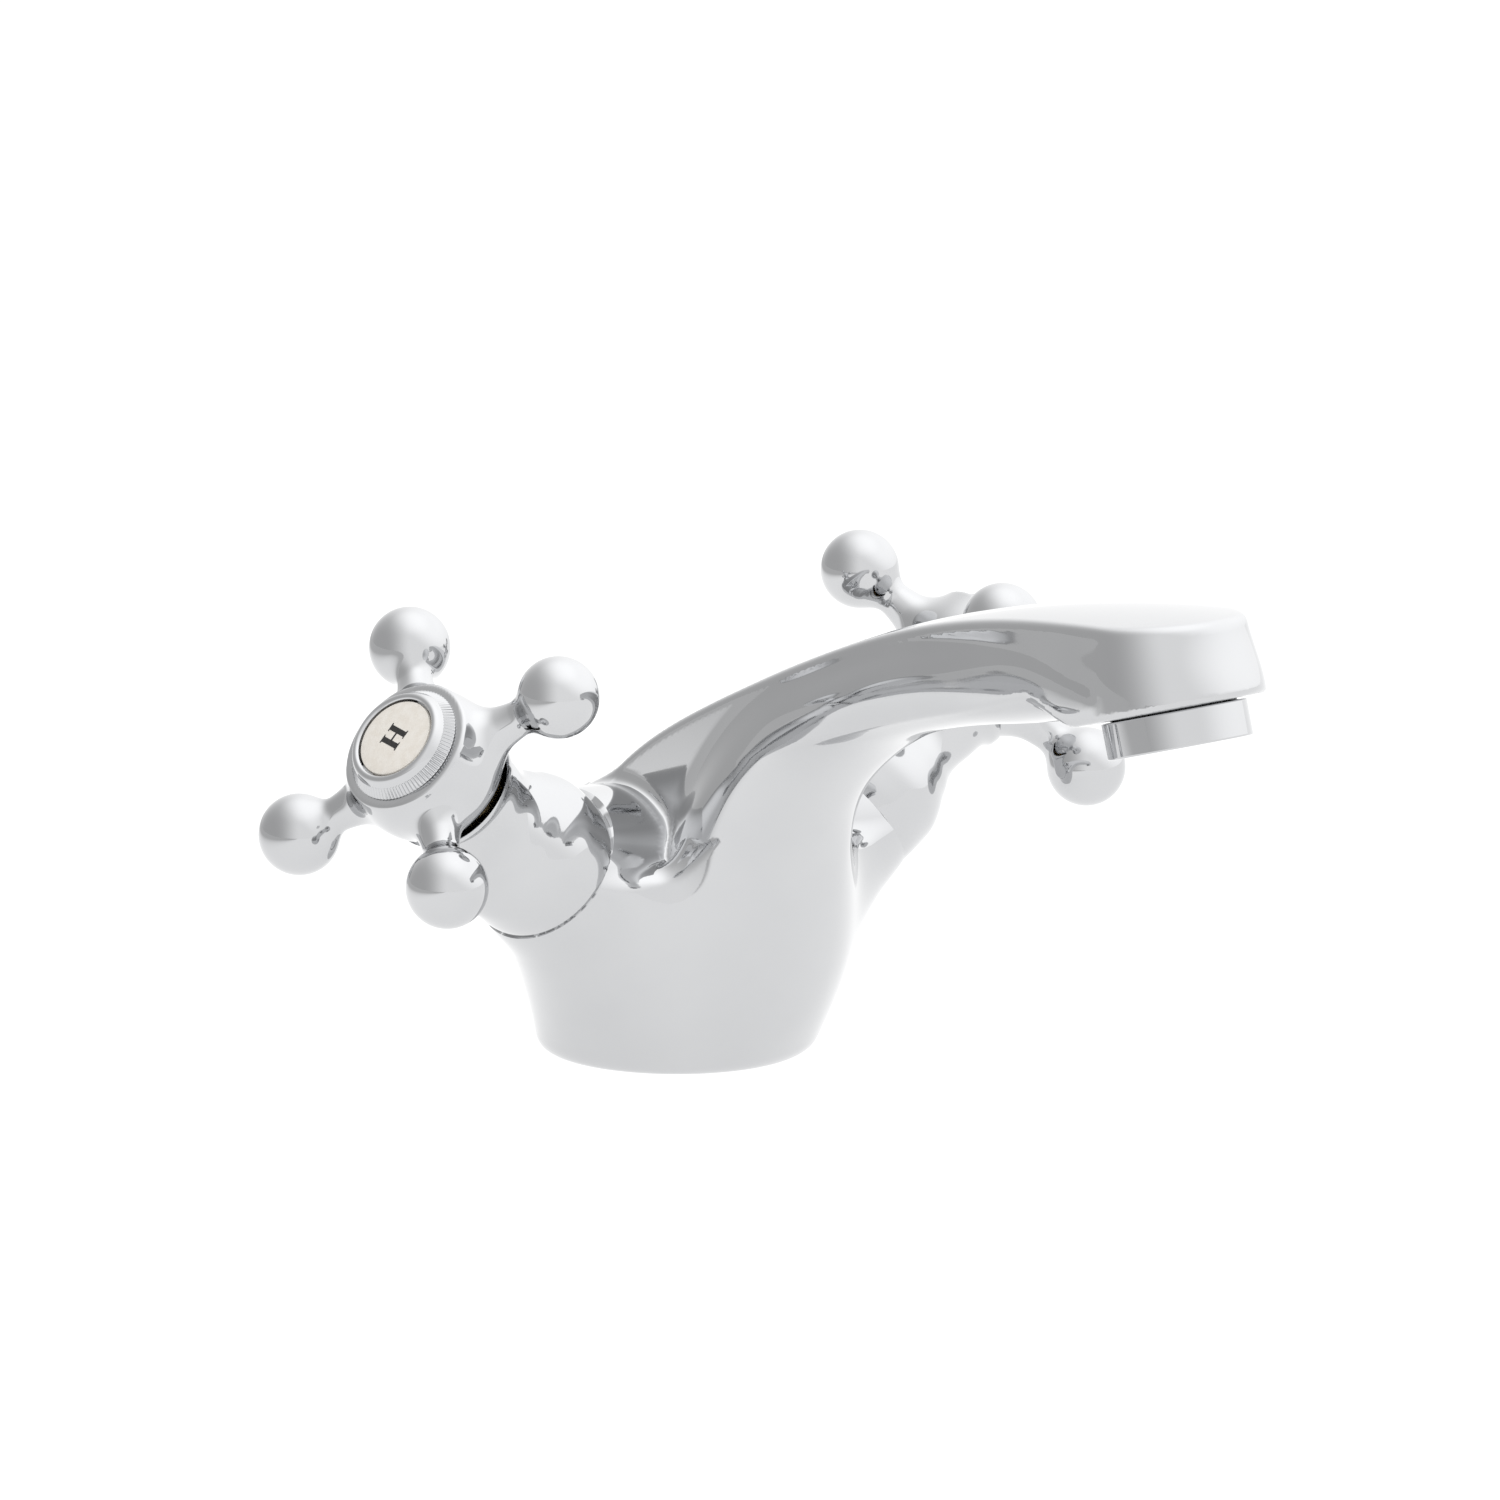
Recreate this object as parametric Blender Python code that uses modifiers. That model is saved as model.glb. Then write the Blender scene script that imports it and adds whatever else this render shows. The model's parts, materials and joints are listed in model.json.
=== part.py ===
"""Deck-mounted bathroom mixer faucet with two cross handles, as an assembly of its real pieces.

Frame: +Z up, origin on the deck at the centre of the round base, spout towards -Y, hot handle at -X.
All constants are in millimetres; the model itself is in metres.
"""

import math

import bmesh
import bpy
from mathutils import Matrix, Vector

MM = 0.001
MERGE = 0.00001
RIGHT = Vector((1.0, 0.0, 0.0))
UP = Vector((0.0, 0.0, 1.0))

# Round base and the way the faucet is fixed to the deck.
BASE_RADIUS = 25.0
GASKET_INNER, GASKET_OUTER, GASKET_HEIGHT = 18.8, 21.7, 2.0
INLET_OFFSET_X, INLET_OFFSET_Y = 9.5, 4.0
INLET_SOCKET_RADIUS, INLET_SOCKET_DEPTH = 4.6, 14.0
STUD_HOLE_Y, STUD_HOLE_RADIUS, STUD_HOLE_DEPTH = -13.0, 3.4, 14.0

# Belly: the barrel that rises from the round base and bends forward into the underside of the spout.
# Each station is an ellipse: its front point (y, z), its back point (y, z) and its half width.
BELLY_STATIONS = (
    ((-25.0, 0.0), (25.0, 0.0), 25.0),
    ((-29.5, 11.0), (24.6, 11.0), 24.3),
    ((-33.5, 20.0), (19.0, 21.0), 21.8),
    ((-37.0, 29.0), (6.0, 33.0), 19.0),
    ((-41.2, 40.0), (-9.0, 46.0), 16.8),
    ((-47.2, 52.0), (-25.0, 63.0), 15.0),
    ((-60.0, 63.4), (-49.0, 76.0), 13.6),
    ((-76.0, 69.4), (-72.0, 84.6), 13.3),
    ((-98.0, 73.6), (-96.0, 90.0), 14.0),
    ((-116.0, 77.5), (-114.5, 91.0), 14.0),
)
BELLY_SIDES = 28

# Arms: one bent tube from the hot valve seat, through the middle of the body, to the cold one.
ARM_SEAT_RADIUS = 13.4
ARM_MIDDLE_RADIUS = 19.5
ARM_MIDDLE = (0.0, 2.5, 30.5)
ARM_STRAIGHT, ARM_LEVEL = 10.0, 14.0
ARM_SPANS, ARM_SIDES = 6, 28

# Spout blade: a slab with a rounded nose over the aerator, seen from the side and from above.
BLADE_TOP = ((9.0, 45.0), (-7.4, 58.4), (-31.0, 70.6), (-61.0, 83.2), (-95.0, 92.4), (-127.0, 95.4),
             (-150.0, 95.4))
BLADE_HIDDEN = ((-111.0, 81.0), (-98.0, 84.0), (-76.0, 80.6), (-58.0, 73.0), (-31.0, 46.5), (-12.0, 30.0),
                (9.0, 30.0))
BLADE_HALF_WIDTHS = ((14.0, 11.6), (-58.0, 11.8), (-80.0, 12.5), (-100.0, 13.8), (-114.0, 14.7))
NOSE_RADIUS = 15.0
NOSE_TILT = math.radians(15.9)
NOSE_CENTRE = (-125.4, 79.6)

# Aerator under the nose; heights are along the outlet's own axis, zero at the nose's underside.
AERATOR_RADIUS, AERATOR_HEIGHT = 12.3, 6.5
AERATOR_OUTSIDE = [(9.6, 6.0), (10.6, 5.6), (10.6, -0.3), (12.0, -0.3), (AERATOR_RADIUS, -0.6),
                   (AERATOR_RADIUS, -6.2), (12.0, -AERATOR_HEIGHT)]
AERATOR_INSIDE = [(8.4, -AERATOR_HEIGHT), (8.4, -5.2), (9.3, -5.2), (9.3, 6.0)]
AERATOR_CAVITY = [(0, 12.0), (6.5, 12.0), (8.0, 8.3), (10.9, 8.3), (10.9, -1.0), (0, -1.0)]
AERATOR_WASHER = (10.5, 8.2, 7.9, 6.3)
INSERT_RADIUS, INSERT_TOP, INSERT_BOTTOM = 9.0, 5.6, -4.9
JET_RADIUS, JET_CIRCLE_RADIUS = 1.5, 5.4

# Valve axes: both lean outward and a little forward. Heights along an axis are measured from the
# plane that holds the centres of the handle's four balls, and grow outward.
VALVE_LEAN = math.radians(37.87)
VALVE_TOE = math.radians(5.56)
HANDLE_CENTRE = (63.28, -8.7, 60.33)
SEAT = -36.5
HANDLE_REST = {"hot": math.radians(42.4), "cold": math.radians(49.5)}

# Outlines of the pieces that are round about a valve axis: (radius, height) points that run down the
# outside, then back up the inside.
CHAMBER_FLOOR = -56.3
VALVE_BORE = [(0, -30.0), (15.5, -30.0), (15.5, SEAT), (11.7, SEAT), (11.7, -38.2), (10.25, -38.2),
              (10.25, -47.0), (9.8, -47.4), (9.8, CHAMBER_FLOOR), (0, CHAMBER_FLOOR)]
SHROUD_OUTSIDE = [(11.9, -7.0), (11.7, -8.0), (10.7, -9.4), (9.9, -13.6), (9.8, -17.5), (11.0, -21.1),
                  (12.8, -24.9), (13.8, -28.0), (14.0, -31.5), (13.3, -36.2)]
SHROUD_INSIDE = [(12.4, -36.2), (12.6, -31.5), (12.0, -28.0), (9.1, -20.0), (7.7, -18.4), (7.7, -14.6),
                 (9.0, -13.0), (10.5, -7.0)]
VALVE_OUTSIDE = [(7.0, -13.0), (7.35, -13.4), (7.35, -20.5), (6.6, -20.5), (6.6, -29.9), (11.0, -34.6),
                 (11.0, -36.2), (9.9, -36.2), (9.9, -46.6), (8.4, -46.6), (8.4, -55.7)]
VALVE_INSIDE = [(7.2, -55.7), (7.2, -45.0), (4.5, -45.0), (4.5, -13.0)]
SPINDLE = [(0, -1.0), (3.6, -1.0), (4.0, -1.6), (4.0, -11.3), (3.2, -11.3), (3.2, -12.9), (4.2, -12.9),
           (4.2, -25.0), (3.1, -25.0), (3.1, -27.0), (4.2, -27.0), (4.2, -46.4), (6.9, -46.4),
           (6.9, -49.1), (0, -49.1)]
HUB_OUTSIDE = [(7.9, 7.3), (11.9, 7.3), (12.2, 7.0), (12.9, 4.0), (13.3, 1.0), (13.1, -2.0), (12.3, -4.6),
               (11.2, -6.2)]
HUB_INSIDE = [(4.3, -6.2), (4.3, -0.7), (2.4, -0.7), (2.4, 1.3), (7.9, 1.3)]
HANDLE_SCREW = [(0, 3.9), (2.6, 3.9), (3.6, 3.1), (3.6, 1.6), (2.0, 1.6), (2.0, -8.6), (1.4, -9.4), (0, -9.4)]
INDEX_RING_OUTSIDE = [(7.45, 10.3), (7.9, 10.65), (8.5, 10.6), (9.2, 10.1), (9.6, 9.4), (9.6, 7.6),
                      (7.55, 7.6), (7.55, 6.6), (6.7, 6.6), (6.7, 5.2), (7.55, 5.2), (7.55, 4.4)]
INDEX_RING_INSIDE = [(5.8, 4.4), (5.8, 7.4), (2.5, 7.4), (2.5, 8.7), (7.45, 8.7)]
INDEX_DISC = [(0, 10.45), (3.5, 10.4), (6.3, 10.25), (7.15, 9.95), (7.15, 9.0), (0, 9.0)]

# Plain washers on a valve axis: outer radius, inner radius, top, bottom.
SEAT_SEAL = (6.9, 5.6, -55.0, -56.0)
THRUST_WASHER = (6.8, 4.5, -45.3, -46.1)
CIRCLIP = (5.6, 3.5, -11.7, -12.5)

# O-rings on a valve axis: centre radius, centre height, section radius.
VALVE_BODY_O_RING = (10.75, -37.2, 0.62)
SPINDLE_O_RING = (3.75, -26.0, 0.45)
INDEX_O_RING = (7.2, 5.9, 0.42)

# Hexagon, water window and ceramic discs of a valve.
NUT_ACROSS_FLATS, NUT_TOP, NUT_BOTTOM = 19.0, -29.7, -35.2
WINDOW_WIDTH, WINDOW_HEIGHT, WINDOW_CENTRE = 6.0, 3.6, -49.7
DISC_RADIUS, PORT_RADIUS, PORT_REACH = 6.9, 1.8, 3.5
FIXED_DISC_TOP, FIXED_DISC_BOTTOM = -52.2, -54.7
MOVING_DISC_TOP, MOVING_DISC_BOTTOM = -49.4, -51.9
TANG_SIZE, TANG_CENTRE = (9.6, 2.6, 3.0), -48.8
TANG_CLEARANCE = 0.6

# Arms of the cross handle, and the screw that holds it.
BALL_RADIUS, BALL_DISTANCE = 7.06, 26.8
HANDLE_ARM = [(3.2, 19.1), (3.7, 16.5), (5.0, 13.4), (5.4, 10.6), (0, 10.6)]
SCREW_HOLE_RADIUS, SCREW_HOLE_BOTTOM = 2.3, -10.6

# Water ways drilled through the casting.
CHANNEL_RADIUS = 3.0
CHANNEL_END = (1.0, -18.0, 39.0)
SPOUT_WATERWAY_RADIUS = 5.5
WATERWAY = ((-15.0, 36.0), (-22.0, 42.0), (-31.0, 51.0), (-43.5, 64.0), (-58.0, 74.6), (-76.0, 81.0),
            (-98.0, 84.6), (-114.0, 86.4), (-121.6, 88.6))

CHROME = ((0.82, 0.83, 0.84, 1.0), 1.0, 0.06)
BRASS = ((0.72, 0.55, 0.26, 1.0), 1.0, 0.28)
STEEL = ((0.60, 0.60, 0.61, 1.0), 1.0, 0.25)
RUBBER = ((0.02, 0.02, 0.02, 1.0), 0.0, 0.75)
VALVE_CERAMIC = ((0.86, 0.86, 0.84, 1.0), 0.0, 0.20)
INDEX_CERAMIC = ((0.86, 0.81, 0.73, 1.0), 0.0, 0.12)
ACETAL = ((0.80, 0.80, 0.78, 1.0), 0.0, 0.45)


def new_collection(name):
    collection = bpy.data.collections.new(name)
    bpy.context.scene.collection.children.link(collection)
    return collection


def clear_scene():
    for obj in list(bpy.data.objects):
        bpy.data.objects.remove(obj, do_unlink=True)


clear_scene()
PARTS = new_collection("bathroom_mixer_faucet")
CUTTERS = new_collection("cutters")


def new_material(name, finish):
    colour, metallic, roughness = finish
    material = bpy.data.materials.new(name)
    material.use_nodes = True
    shader = material.node_tree.nodes["Principled BSDF"]
    shader.inputs["Base Color"].default_value = colour
    shader.inputs["Metallic"].default_value = metallic
    shader.inputs["Roughness"].default_value = roughness
    return material


def add_object(name, mesh, finish=None, parent=None):
    """Put a mesh in the parts, or among the cutters and guides when it has no finish."""
    obj = bpy.data.objects.new(name, mesh)
    if finish is None:
        CUTTERS.objects.link(obj)
        obj.hide_render = True
        obj.display_type = "WIRE"
    else:
        PARTS.objects.link(obj)
        mesh.materials.append(new_material(name, finish))
    obj.parent = parent
    return obj


def add_empty(name, matrix, parent=None):
    empty = bpy.data.objects.new(name, None)
    PARTS.objects.link(empty)
    empty.parent = parent
    empty.matrix_local = matrix
    empty.empty_display_size = 20 * MM
    return empty


def turned(name, profile, finish=None, parent=None, steps=32, ring=False):
    """Turn (radius, height) points about local Z. A ring's outline is closed; a solid's starts and ends at
    radius zero. Points run down the outside, then back up the inside."""
    mesh = bpy.data.meshes.new(name)
    points = [(radius * MM, 0.0, height * MM) for radius, height in profile]
    edges = [(i, i + 1) for i in range(len(points) - 1)]
    if ring:
        edges.append((len(points) - 1, 0))
    mesh.from_pydata(points, edges, [])
    obj = add_object(name, mesh, finish, parent)
    screw = obj.modifiers.new("turn", "SCREW")
    screw.steps = steps
    screw.render_steps = steps
    screw.use_merge_vertices = True
    screw.merge_threshold = MERGE
    return obj


def torus_profile(centre_radius, centre_height, minor_radius, corners=6):
    """The closed outline of an O-ring's section, run down its outer side first."""
    outline = []
    for i in range(corners):
        turn = math.pi / 2 - 2 * math.pi * i / corners
        radius = centre_radius + minor_radius * math.cos(turn)
        outline.append((radius, centre_height + minor_radius * math.sin(turn)))
    return outline


def rod(name, radius, top, bottom, steps=24, parent=None, finish=None):
    return turned(name, [(0, top), (radius, top), (radius, bottom), (0, bottom)], finish, parent, steps)


def box(name, size, centre, parent=None):
    bm = bmesh.new()
    bmesh.ops.create_cube(bm, size=1.0)
    bmesh.ops.scale(bm, vec=Vector(size) * MM, verts=bm.verts)
    bmesh.ops.translate(bm, vec=Vector(centre) * MM, verts=bm.verts)
    mesh = bpy.data.meshes.new(name)
    bm.to_mesh(mesh)
    bm.free()
    return add_object(name, mesh, None, parent)


def combine(target, tool, operation):
    modifier = target.modifiers.new(operation.lower() + "_" + tool.name, "BOOLEAN")
    modifier.operation = operation
    modifier.solver = "EXACT"
    modifier.object = tool


def cut(target, tool):
    combine(target, tool, "DIFFERENCE")


def join(target, tool):
    combine(target, tool, "UNION")


def smooth_points(points, per_span=4):
    """Read a Catmull-Rom curve through points of any dimension, without repeating its joints."""
    padded = [tuple(2 * a - b for a, b in zip(points[0], points[1]))]
    padded += [tuple(p) for p in points]
    padded.append(tuple(2 * a - b for a, b in zip(points[-1], points[-2])))
    curve = []
    for i in range(1, len(padded) - 2):
        for j in range(per_span):
            t = j / per_span
            weights = (
                0.5 * (-t + 2 * t**2 - t**3),
                0.5 * (2 - 5 * t**2 + 3 * t**3),
                0.5 * (t + 4 * t**2 - 3 * t**3),
                0.5 * (t**3 - t**2),
            )
            near = padded[i - 1:i + 3]
            curve.append(tuple(sum(w * p[k] for w, p in zip(weights, near)) for k in range(len(points[0]))))
    curve.append(tuple(points[-1]))
    return curve


def loft(name, rings, finish=None, parent=None):
    """Skin closed rings of equal size, with a flat cap at each end."""
    bm = bmesh.new()
    rows = [[bm.verts.new(Vector(point) * MM) for point in ring] for ring in rings]
    count = len(rows[0])
    for row, following in zip(rows, rows[1:]):
        for i in range(count):
            j = (i + 1) % count
            bm.faces.new((row[i], row[j], following[j], following[i]))
    bm.faces.new(rows[0][::-1])
    bm.faces.new(rows[-1])
    bmesh.ops.recalc_face_normals(bm, faces=bm.faces)
    mesh = bpy.data.meshes.new(name)
    bm.to_mesh(mesh)
    bm.free()
    return add_object(name, mesh, finish, parent)


def section(centre, across, along, half_across, half_along, sides):
    """An ellipse about a centre, in the plane of two unit vectors."""
    ring = []
    for i in range(sides):
        turn = 2 * math.pi * i / sides
        ring.append(centre + across * half_across * math.cos(turn) + along * half_along * math.sin(turn))
    return ring


def sweep(name, centres, radii, across, sides):
    """Loft circles square to the line through their centres."""
    rings = []
    for i, (centre, radius) in enumerate(zip(centres, radii)):
        before, after = centres[max(i - 1, 0)], centres[min(i + 1, len(centres) - 1)]
        forward = (after - before).normalized()
        side = (across - forward * across.dot(forward)).normalized()
        rings.append(section(centre, side, forward.cross(side), radius, radius, sides))
    return loft(name, rings)


def prism(name, outline, push):
    """Extrude a closed outline of 3-D points along a vector."""
    bm = bmesh.new()
    face = bm.faces.new([bm.verts.new(Vector(point) * MM) for point in outline])
    extruded = bmesh.ops.extrude_face_region(bm, geom=[face])["geom"]
    moved = [item for item in extruded if isinstance(item, bmesh.types.BMVert)]
    bmesh.ops.translate(bm, vec=Vector(push) * MM, verts=moved)
    bmesh.ops.recalc_face_normals(bm, faces=bm.faces)
    mesh = bpy.data.meshes.new(name)
    bm.to_mesh(mesh)
    bm.free()
    return add_object(name, mesh)


def valve_normal(side):
    lean = math.cos(VALVE_LEAN)
    return Vector((side * lean * math.cos(VALVE_TOE), -lean * math.sin(VALVE_TOE), math.sin(VALVE_LEAN)))


def valve_point(side, height):
    """A point on a valve's axis, in millimetres."""
    return Vector((side * HANDLE_CENTRE[0], HANDLE_CENTRE[1], HANDLE_CENTRE[2])) + valve_normal(side) * height


def valve_frame(side):
    """Local Z is the outward valve axis and local X points forward, over the spout's side."""
    normal = valve_normal(side)
    forward = Vector((0.0, -1.0, 0.0))
    forward = (forward - normal * forward.dot(normal)).normalized()
    frame = Matrix((forward, normal.cross(forward), normal)).transposed().to_4x4()
    frame.translation = valve_point(side, 0.0) * MM
    return frame


def nose_frame():
    """Local Z runs up the outlet's axis, from the middle of the nose's underside."""
    frame = Matrix.Rotation(-NOSE_TILT, 4, "X")
    frame.translation = Vector((0.0, NOSE_CENTRE[0], NOSE_CENTRE[1])) * MM
    return frame


def belly():
    rings = []
    stations = [(*front, *back, half_width) for front, back, half_width in BELLY_STATIONS]
    for front_y, front_z, back_y, back_z, half_width in smooth_points(stations, 2):
        front = Vector((0.0, front_y, front_z))
        back = Vector((0.0, back_y, back_z))
        half_depth = (back - front) / 2
        rings.append(section((front + back) / 2, RIGHT, half_depth.normalized(), half_width,
                             half_depth.length, BELLY_SIDES))
    return loft("body_casting", rings, CHROME)


def bezier_point(ends, t):
    a, b, c, d = ends
    return a * (1 - t) ** 3 + b * 3 * t * (1 - t) ** 2 + c * 3 * t**2 * (1 - t) + d * t**3


def arms():
    """A curve that leaves a seat square and comes level at the middle, then its mirror image. Each end
    runs a little past its seat, where the valve bore's cutter faces it off."""
    seat, normal, middle = valve_point(1, SEAT), valve_normal(1), Vector(ARM_MIDDLE)
    ends = (seat, seat - normal * ARM_STRAIGHT, middle + RIGHT * ARM_LEVEL, middle)
    half = [(seat + normal * 2.0, ARM_SEAT_RADIUS)]
    for i in range(ARM_SPANS + 1):
        t = i / ARM_SPANS
        swell = math.sin(math.pi / 2 * t)
        half.append((bezier_point(ends, t), ARM_SEAT_RADIUS + (ARM_MIDDLE_RADIUS - ARM_SEAT_RADIUS) * swell))
    mirrored = [(Vector((-point.x, point.y, point.z)), radius) for point, radius in reversed(half[:-1])]
    centres, radii = zip(*(half + mirrored))
    return sweep("arms_shape", centres, radii, Vector((0.0, 1.0, 0.0)), ARM_SIDES)


def blade_outline(nose_points=13):
    """Half widths along the blade seen from above: straight flanks that open out into a round nose."""
    flank = [(x, y) for y, x in BLADE_HALF_WIDTHS]
    nose = []
    for i in range(nose_points):
        turn = math.pi * i / (nose_points - 1)
        nose.append((NOSE_RADIUS * math.cos(turn), NOSE_CENTRE[0] - NOSE_RADIUS * math.sin(turn)))
    return flank + nose + [(-x, y) for x, y in reversed(flank)]


def blade():
    """The slab seen from above, kept only inside its outline seen from the side."""
    up = Vector((0.0, math.sin(NOSE_TILT), math.cos(NOSE_TILT)))
    low = Vector((0.0, 0.0, NOSE_CENTRE[1])) - up * 70.0
    plan = prism("blade_shape", [Vector((x, y, 0.0)) + low for x, y in blade_outline()], up * 120.0)
    rise = math.tan(NOSE_TILT)
    underside = [(y, NOSE_CENTRE[1] + (NOSE_CENTRE[0] - y) * rise) for y in (-150.0, -112.0)]
    side = smooth_points(BLADE_TOP, 3) + underside + list(BLADE_HIDDEN)
    profile = prism("blade_side_shape", [(-30.0, y, z) for y, z in side], (60.0, 0.0, 0.0))
    combine(plan, profile, "INTERSECT")
    return plan


def drill(name, start, end, radius, steps=12):
    """A straight drilled hole between two points."""
    start, end = Vector(start), Vector(end)
    hole = rod(name, radius, (end - start).length, 0.0, steps)
    hole.rotation_euler = (end - start).to_track_quat("Z", "Y").to_euler()
    hole.location = start * MM
    return hole


def under_nose():
    """Everything below the plane of the nose's underside."""
    cutter = box("under_nose_cut", (60.0, 60.0, 30.0), (0.0, -5.0, -15.0))
    cutter.matrix_world = nose_frame()
    return cutter


def inlet_tools(label, side):
    """One inlet's socket, its channel up to the valve chamber, and the channel on from there to the spout."""
    mouth = Vector((side * INLET_OFFSET_X, INLET_OFFSET_Y, -1.0))
    top = Vector((mouth.x, mouth.y, INLET_SOCKET_DEPTH))
    middle = (side * CHANNEL_END[0], CHANNEL_END[1], CHANNEL_END[2])
    floor, window = valve_point(side, CHAMBER_FLOOR + 1.0), valve_point(side, WINDOW_CENTRE)
    return (
        drill(label + "_inlet_socket", mouth, top, INLET_SOCKET_RADIUS, 16),
        drill(label + "_inlet_channel", top - UP * 3.0, floor, CHANNEL_RADIUS),
        drill(label + "_outlet_channel", window, middle, CHANNEL_RADIUS),
    )


def gasket_groove():
    outer, inner, top = GASKET_OUTER + 0.3, GASKET_INNER - 0.3, GASKET_HEIGHT + 0.3
    outline = [(outer, top), (outer, -1.0), (inner, -1.0), (inner, top)]
    return turned("gasket_groove", outline, steps=40, ring=True)


def spout_waterway():
    route = [Vector((0.0, y, z)) for y, z in smooth_points(WATERWAY, 2)]
    return sweep("spout_waterway", route, [SPOUT_WATERWAY_RADIUS] * len(route), RIGHT, 14)


def body_casting(frames):
    """One chrome-plated brass casting: base, both arms and spout, with its bores and water ways."""
    body = belly()
    join(body, arms())
    join(body, blade())
    cut(body, under_nose())
    for side, (label, frame) in zip((-1, 1), frames.items()):
        cut(body, turned(label + "_valve_bore", VALVE_BORE, parent=frame, steps=24))
        for tool in inlet_tools(label, side):
            cut(body, tool)
    cut(body, drill("stud_hole", (0, STUD_HOLE_Y, -1), (0, STUD_HOLE_Y, STUD_HOLE_DEPTH), STUD_HOLE_RADIUS))
    cut(body, gasket_groove())
    cut(body, spout_waterway())
    cavity = turned("aerator_cavity", AERATOR_CAVITY)
    cavity.matrix_world = nose_frame()
    cut(body, cavity)
    return body


def shroud(label, frame):
    return turned(label + "_shroud", SHROUD_OUTSIDE + SHROUD_INSIDE, CHROME, frame, 28, ring=True)


def valve_body(label, frame):
    """Brass headwork: thread and sleeve below, hexagon in the middle, threaded neck above."""
    piece = turned(label + "_valve_body", VALVE_OUTSIDE + VALVE_INSIDE, BRASS, frame, 20, ring=True)
    corner = NUT_ACROSS_FLATS / 2 / math.cos(math.pi / 6)
    outline = [(corner, NUT_TOP), (corner, NUT_BOTTOM), (5.5, NUT_BOTTOM), (5.5, NUT_TOP)]
    join(piece, turned(label + "_nut_shape", outline, parent=frame, steps=6, ring=True))
    cut(piece, box(label + "_window", (30.0, WINDOW_WIDTH, WINDOW_HEIGHT), (0.0, 0.0, WINDOW_CENTRE), frame))
    return piece


def o_ring(name, sizes, frame):
    return turned(name, torus_profile(*sizes), RUBBER, frame, 18, ring=True)


def washer(name, sizes, finish, frame, steps=20):
    outer, inner, top, bottom = sizes
    outline = [(outer, top), (outer, bottom), (inner, bottom), (inner, top)]
    return turned(name, outline, finish, frame, steps, ring=True)


def disc_with_ports(name, top, bottom, port_turn, frame):
    """A ceramic disc with two opposite round ports."""
    piece = rod(name, DISC_RADIUS, top, bottom, 20, frame, VALVE_CERAMIC)
    for ending, turn in (("_port_a", port_turn), ("_port_b", port_turn + math.pi)):
        port = rod(name + ending, PORT_RADIUS, top + 1, bottom - 1, 10, frame)
        port.location = Vector((math.cos(turn), math.sin(turn), 0.0)) * PORT_REACH * MM
        cut(piece, port)
    return piece


def fixed_disc(label, frame):
    turn = HANDLE_REST[label]
    return disc_with_ports(label + "_fixed_disc", FIXED_DISC_TOP, FIXED_DISC_BOTTOM, turn, frame)


def moving_disc(label, frame):
    """At rest its ports stand a quarter turn away from the fixed disc's, so the valve is shut."""
    piece = disc_with_ports(label + "_moving_disc", MOVING_DISC_TOP, MOVING_DISC_BOTTOM, math.pi / 2, frame)
    slot = (TANG_SIZE[0] + TANG_CLEARANCE, TANG_SIZE[1] + TANG_CLEARANCE, 2.4)
    cut(piece, box(label + "_drive_slot", slot, (0.0, 0.0, MOVING_DISC_TOP), frame))
    return piece


def spindle(label, frame):
    """Drive foot with its tang, sealed stem, clip groove and spline, drilled for the handle screw."""
    piece = turned(label + "_spindle", SPINDLE, BRASS, frame, 16)
    join(piece, box(label + "_tang_shape", TANG_SIZE, (0.0, 0.0, TANG_CENTRE), frame))
    cut(piece, rod(label + "_screw_hole", SCREW_HOLE_RADIUS, 0.0, SCREW_HOLE_BOTTOM, 10, frame))
    return piece


def circlip(label, frame):
    piece = washer(label + "_circlip", CIRCLIP, STEEL, frame)
    cut(piece, box(label + "_circlip_gap", (4.0, 3.0, 3.0), (5.0, 0.0, -12.1), frame))
    return piece


def handle_arm_outline():
    """Half the section of one arm: the ball's outline from its tip, then the neck and the root."""
    outline = [(0, BALL_DISTANCE + BALL_RADIUS)]
    for i in range(1, 7):
        turn = math.radians(152) * i / 6
        outline.append((BALL_RADIUS * math.sin(turn), BALL_DISTANCE + BALL_RADIUS * math.cos(turn)))
    return outline + HANDLE_ARM


def cross_handle(label, frame):
    """Barrel hub with four arms that end in balls."""
    piece = turned(label + "_cross_handle", HUB_OUTSIDE + HUB_INSIDE, CHROME, frame, 28, ring=True)
    for i in range(4):
        arm = turned("%s_arm_shape_%d" % (label, i), handle_arm_outline(), parent=frame, steps=12)
        arm.rotation_euler = (0.0, math.pi / 2, math.pi / 2 * i)
        join(piece, arm)
    return piece


def handle_screw(label, frame):
    piece = turned(label + "_handle_screw", HANDLE_SCREW, STEEL, frame, 16)
    cut(piece, box(label + "_screw_slot", (8.0, 1.0, 2.4), (0.0, 0.0, 4.0), frame))
    return piece


def index_ring(label, frame):
    """Bezel around the index disc, with a spigot that enters the hub."""
    return turned(label + "_index_ring", INDEX_RING_OUTSIDE + INDEX_RING_INSIDE, CHROME, frame, 24, ring=True)


def index_disc(label, frame):
    return turned(label + "_index_disc", INDEX_DISC, INDEX_CERAMIC, frame, 24)


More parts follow.
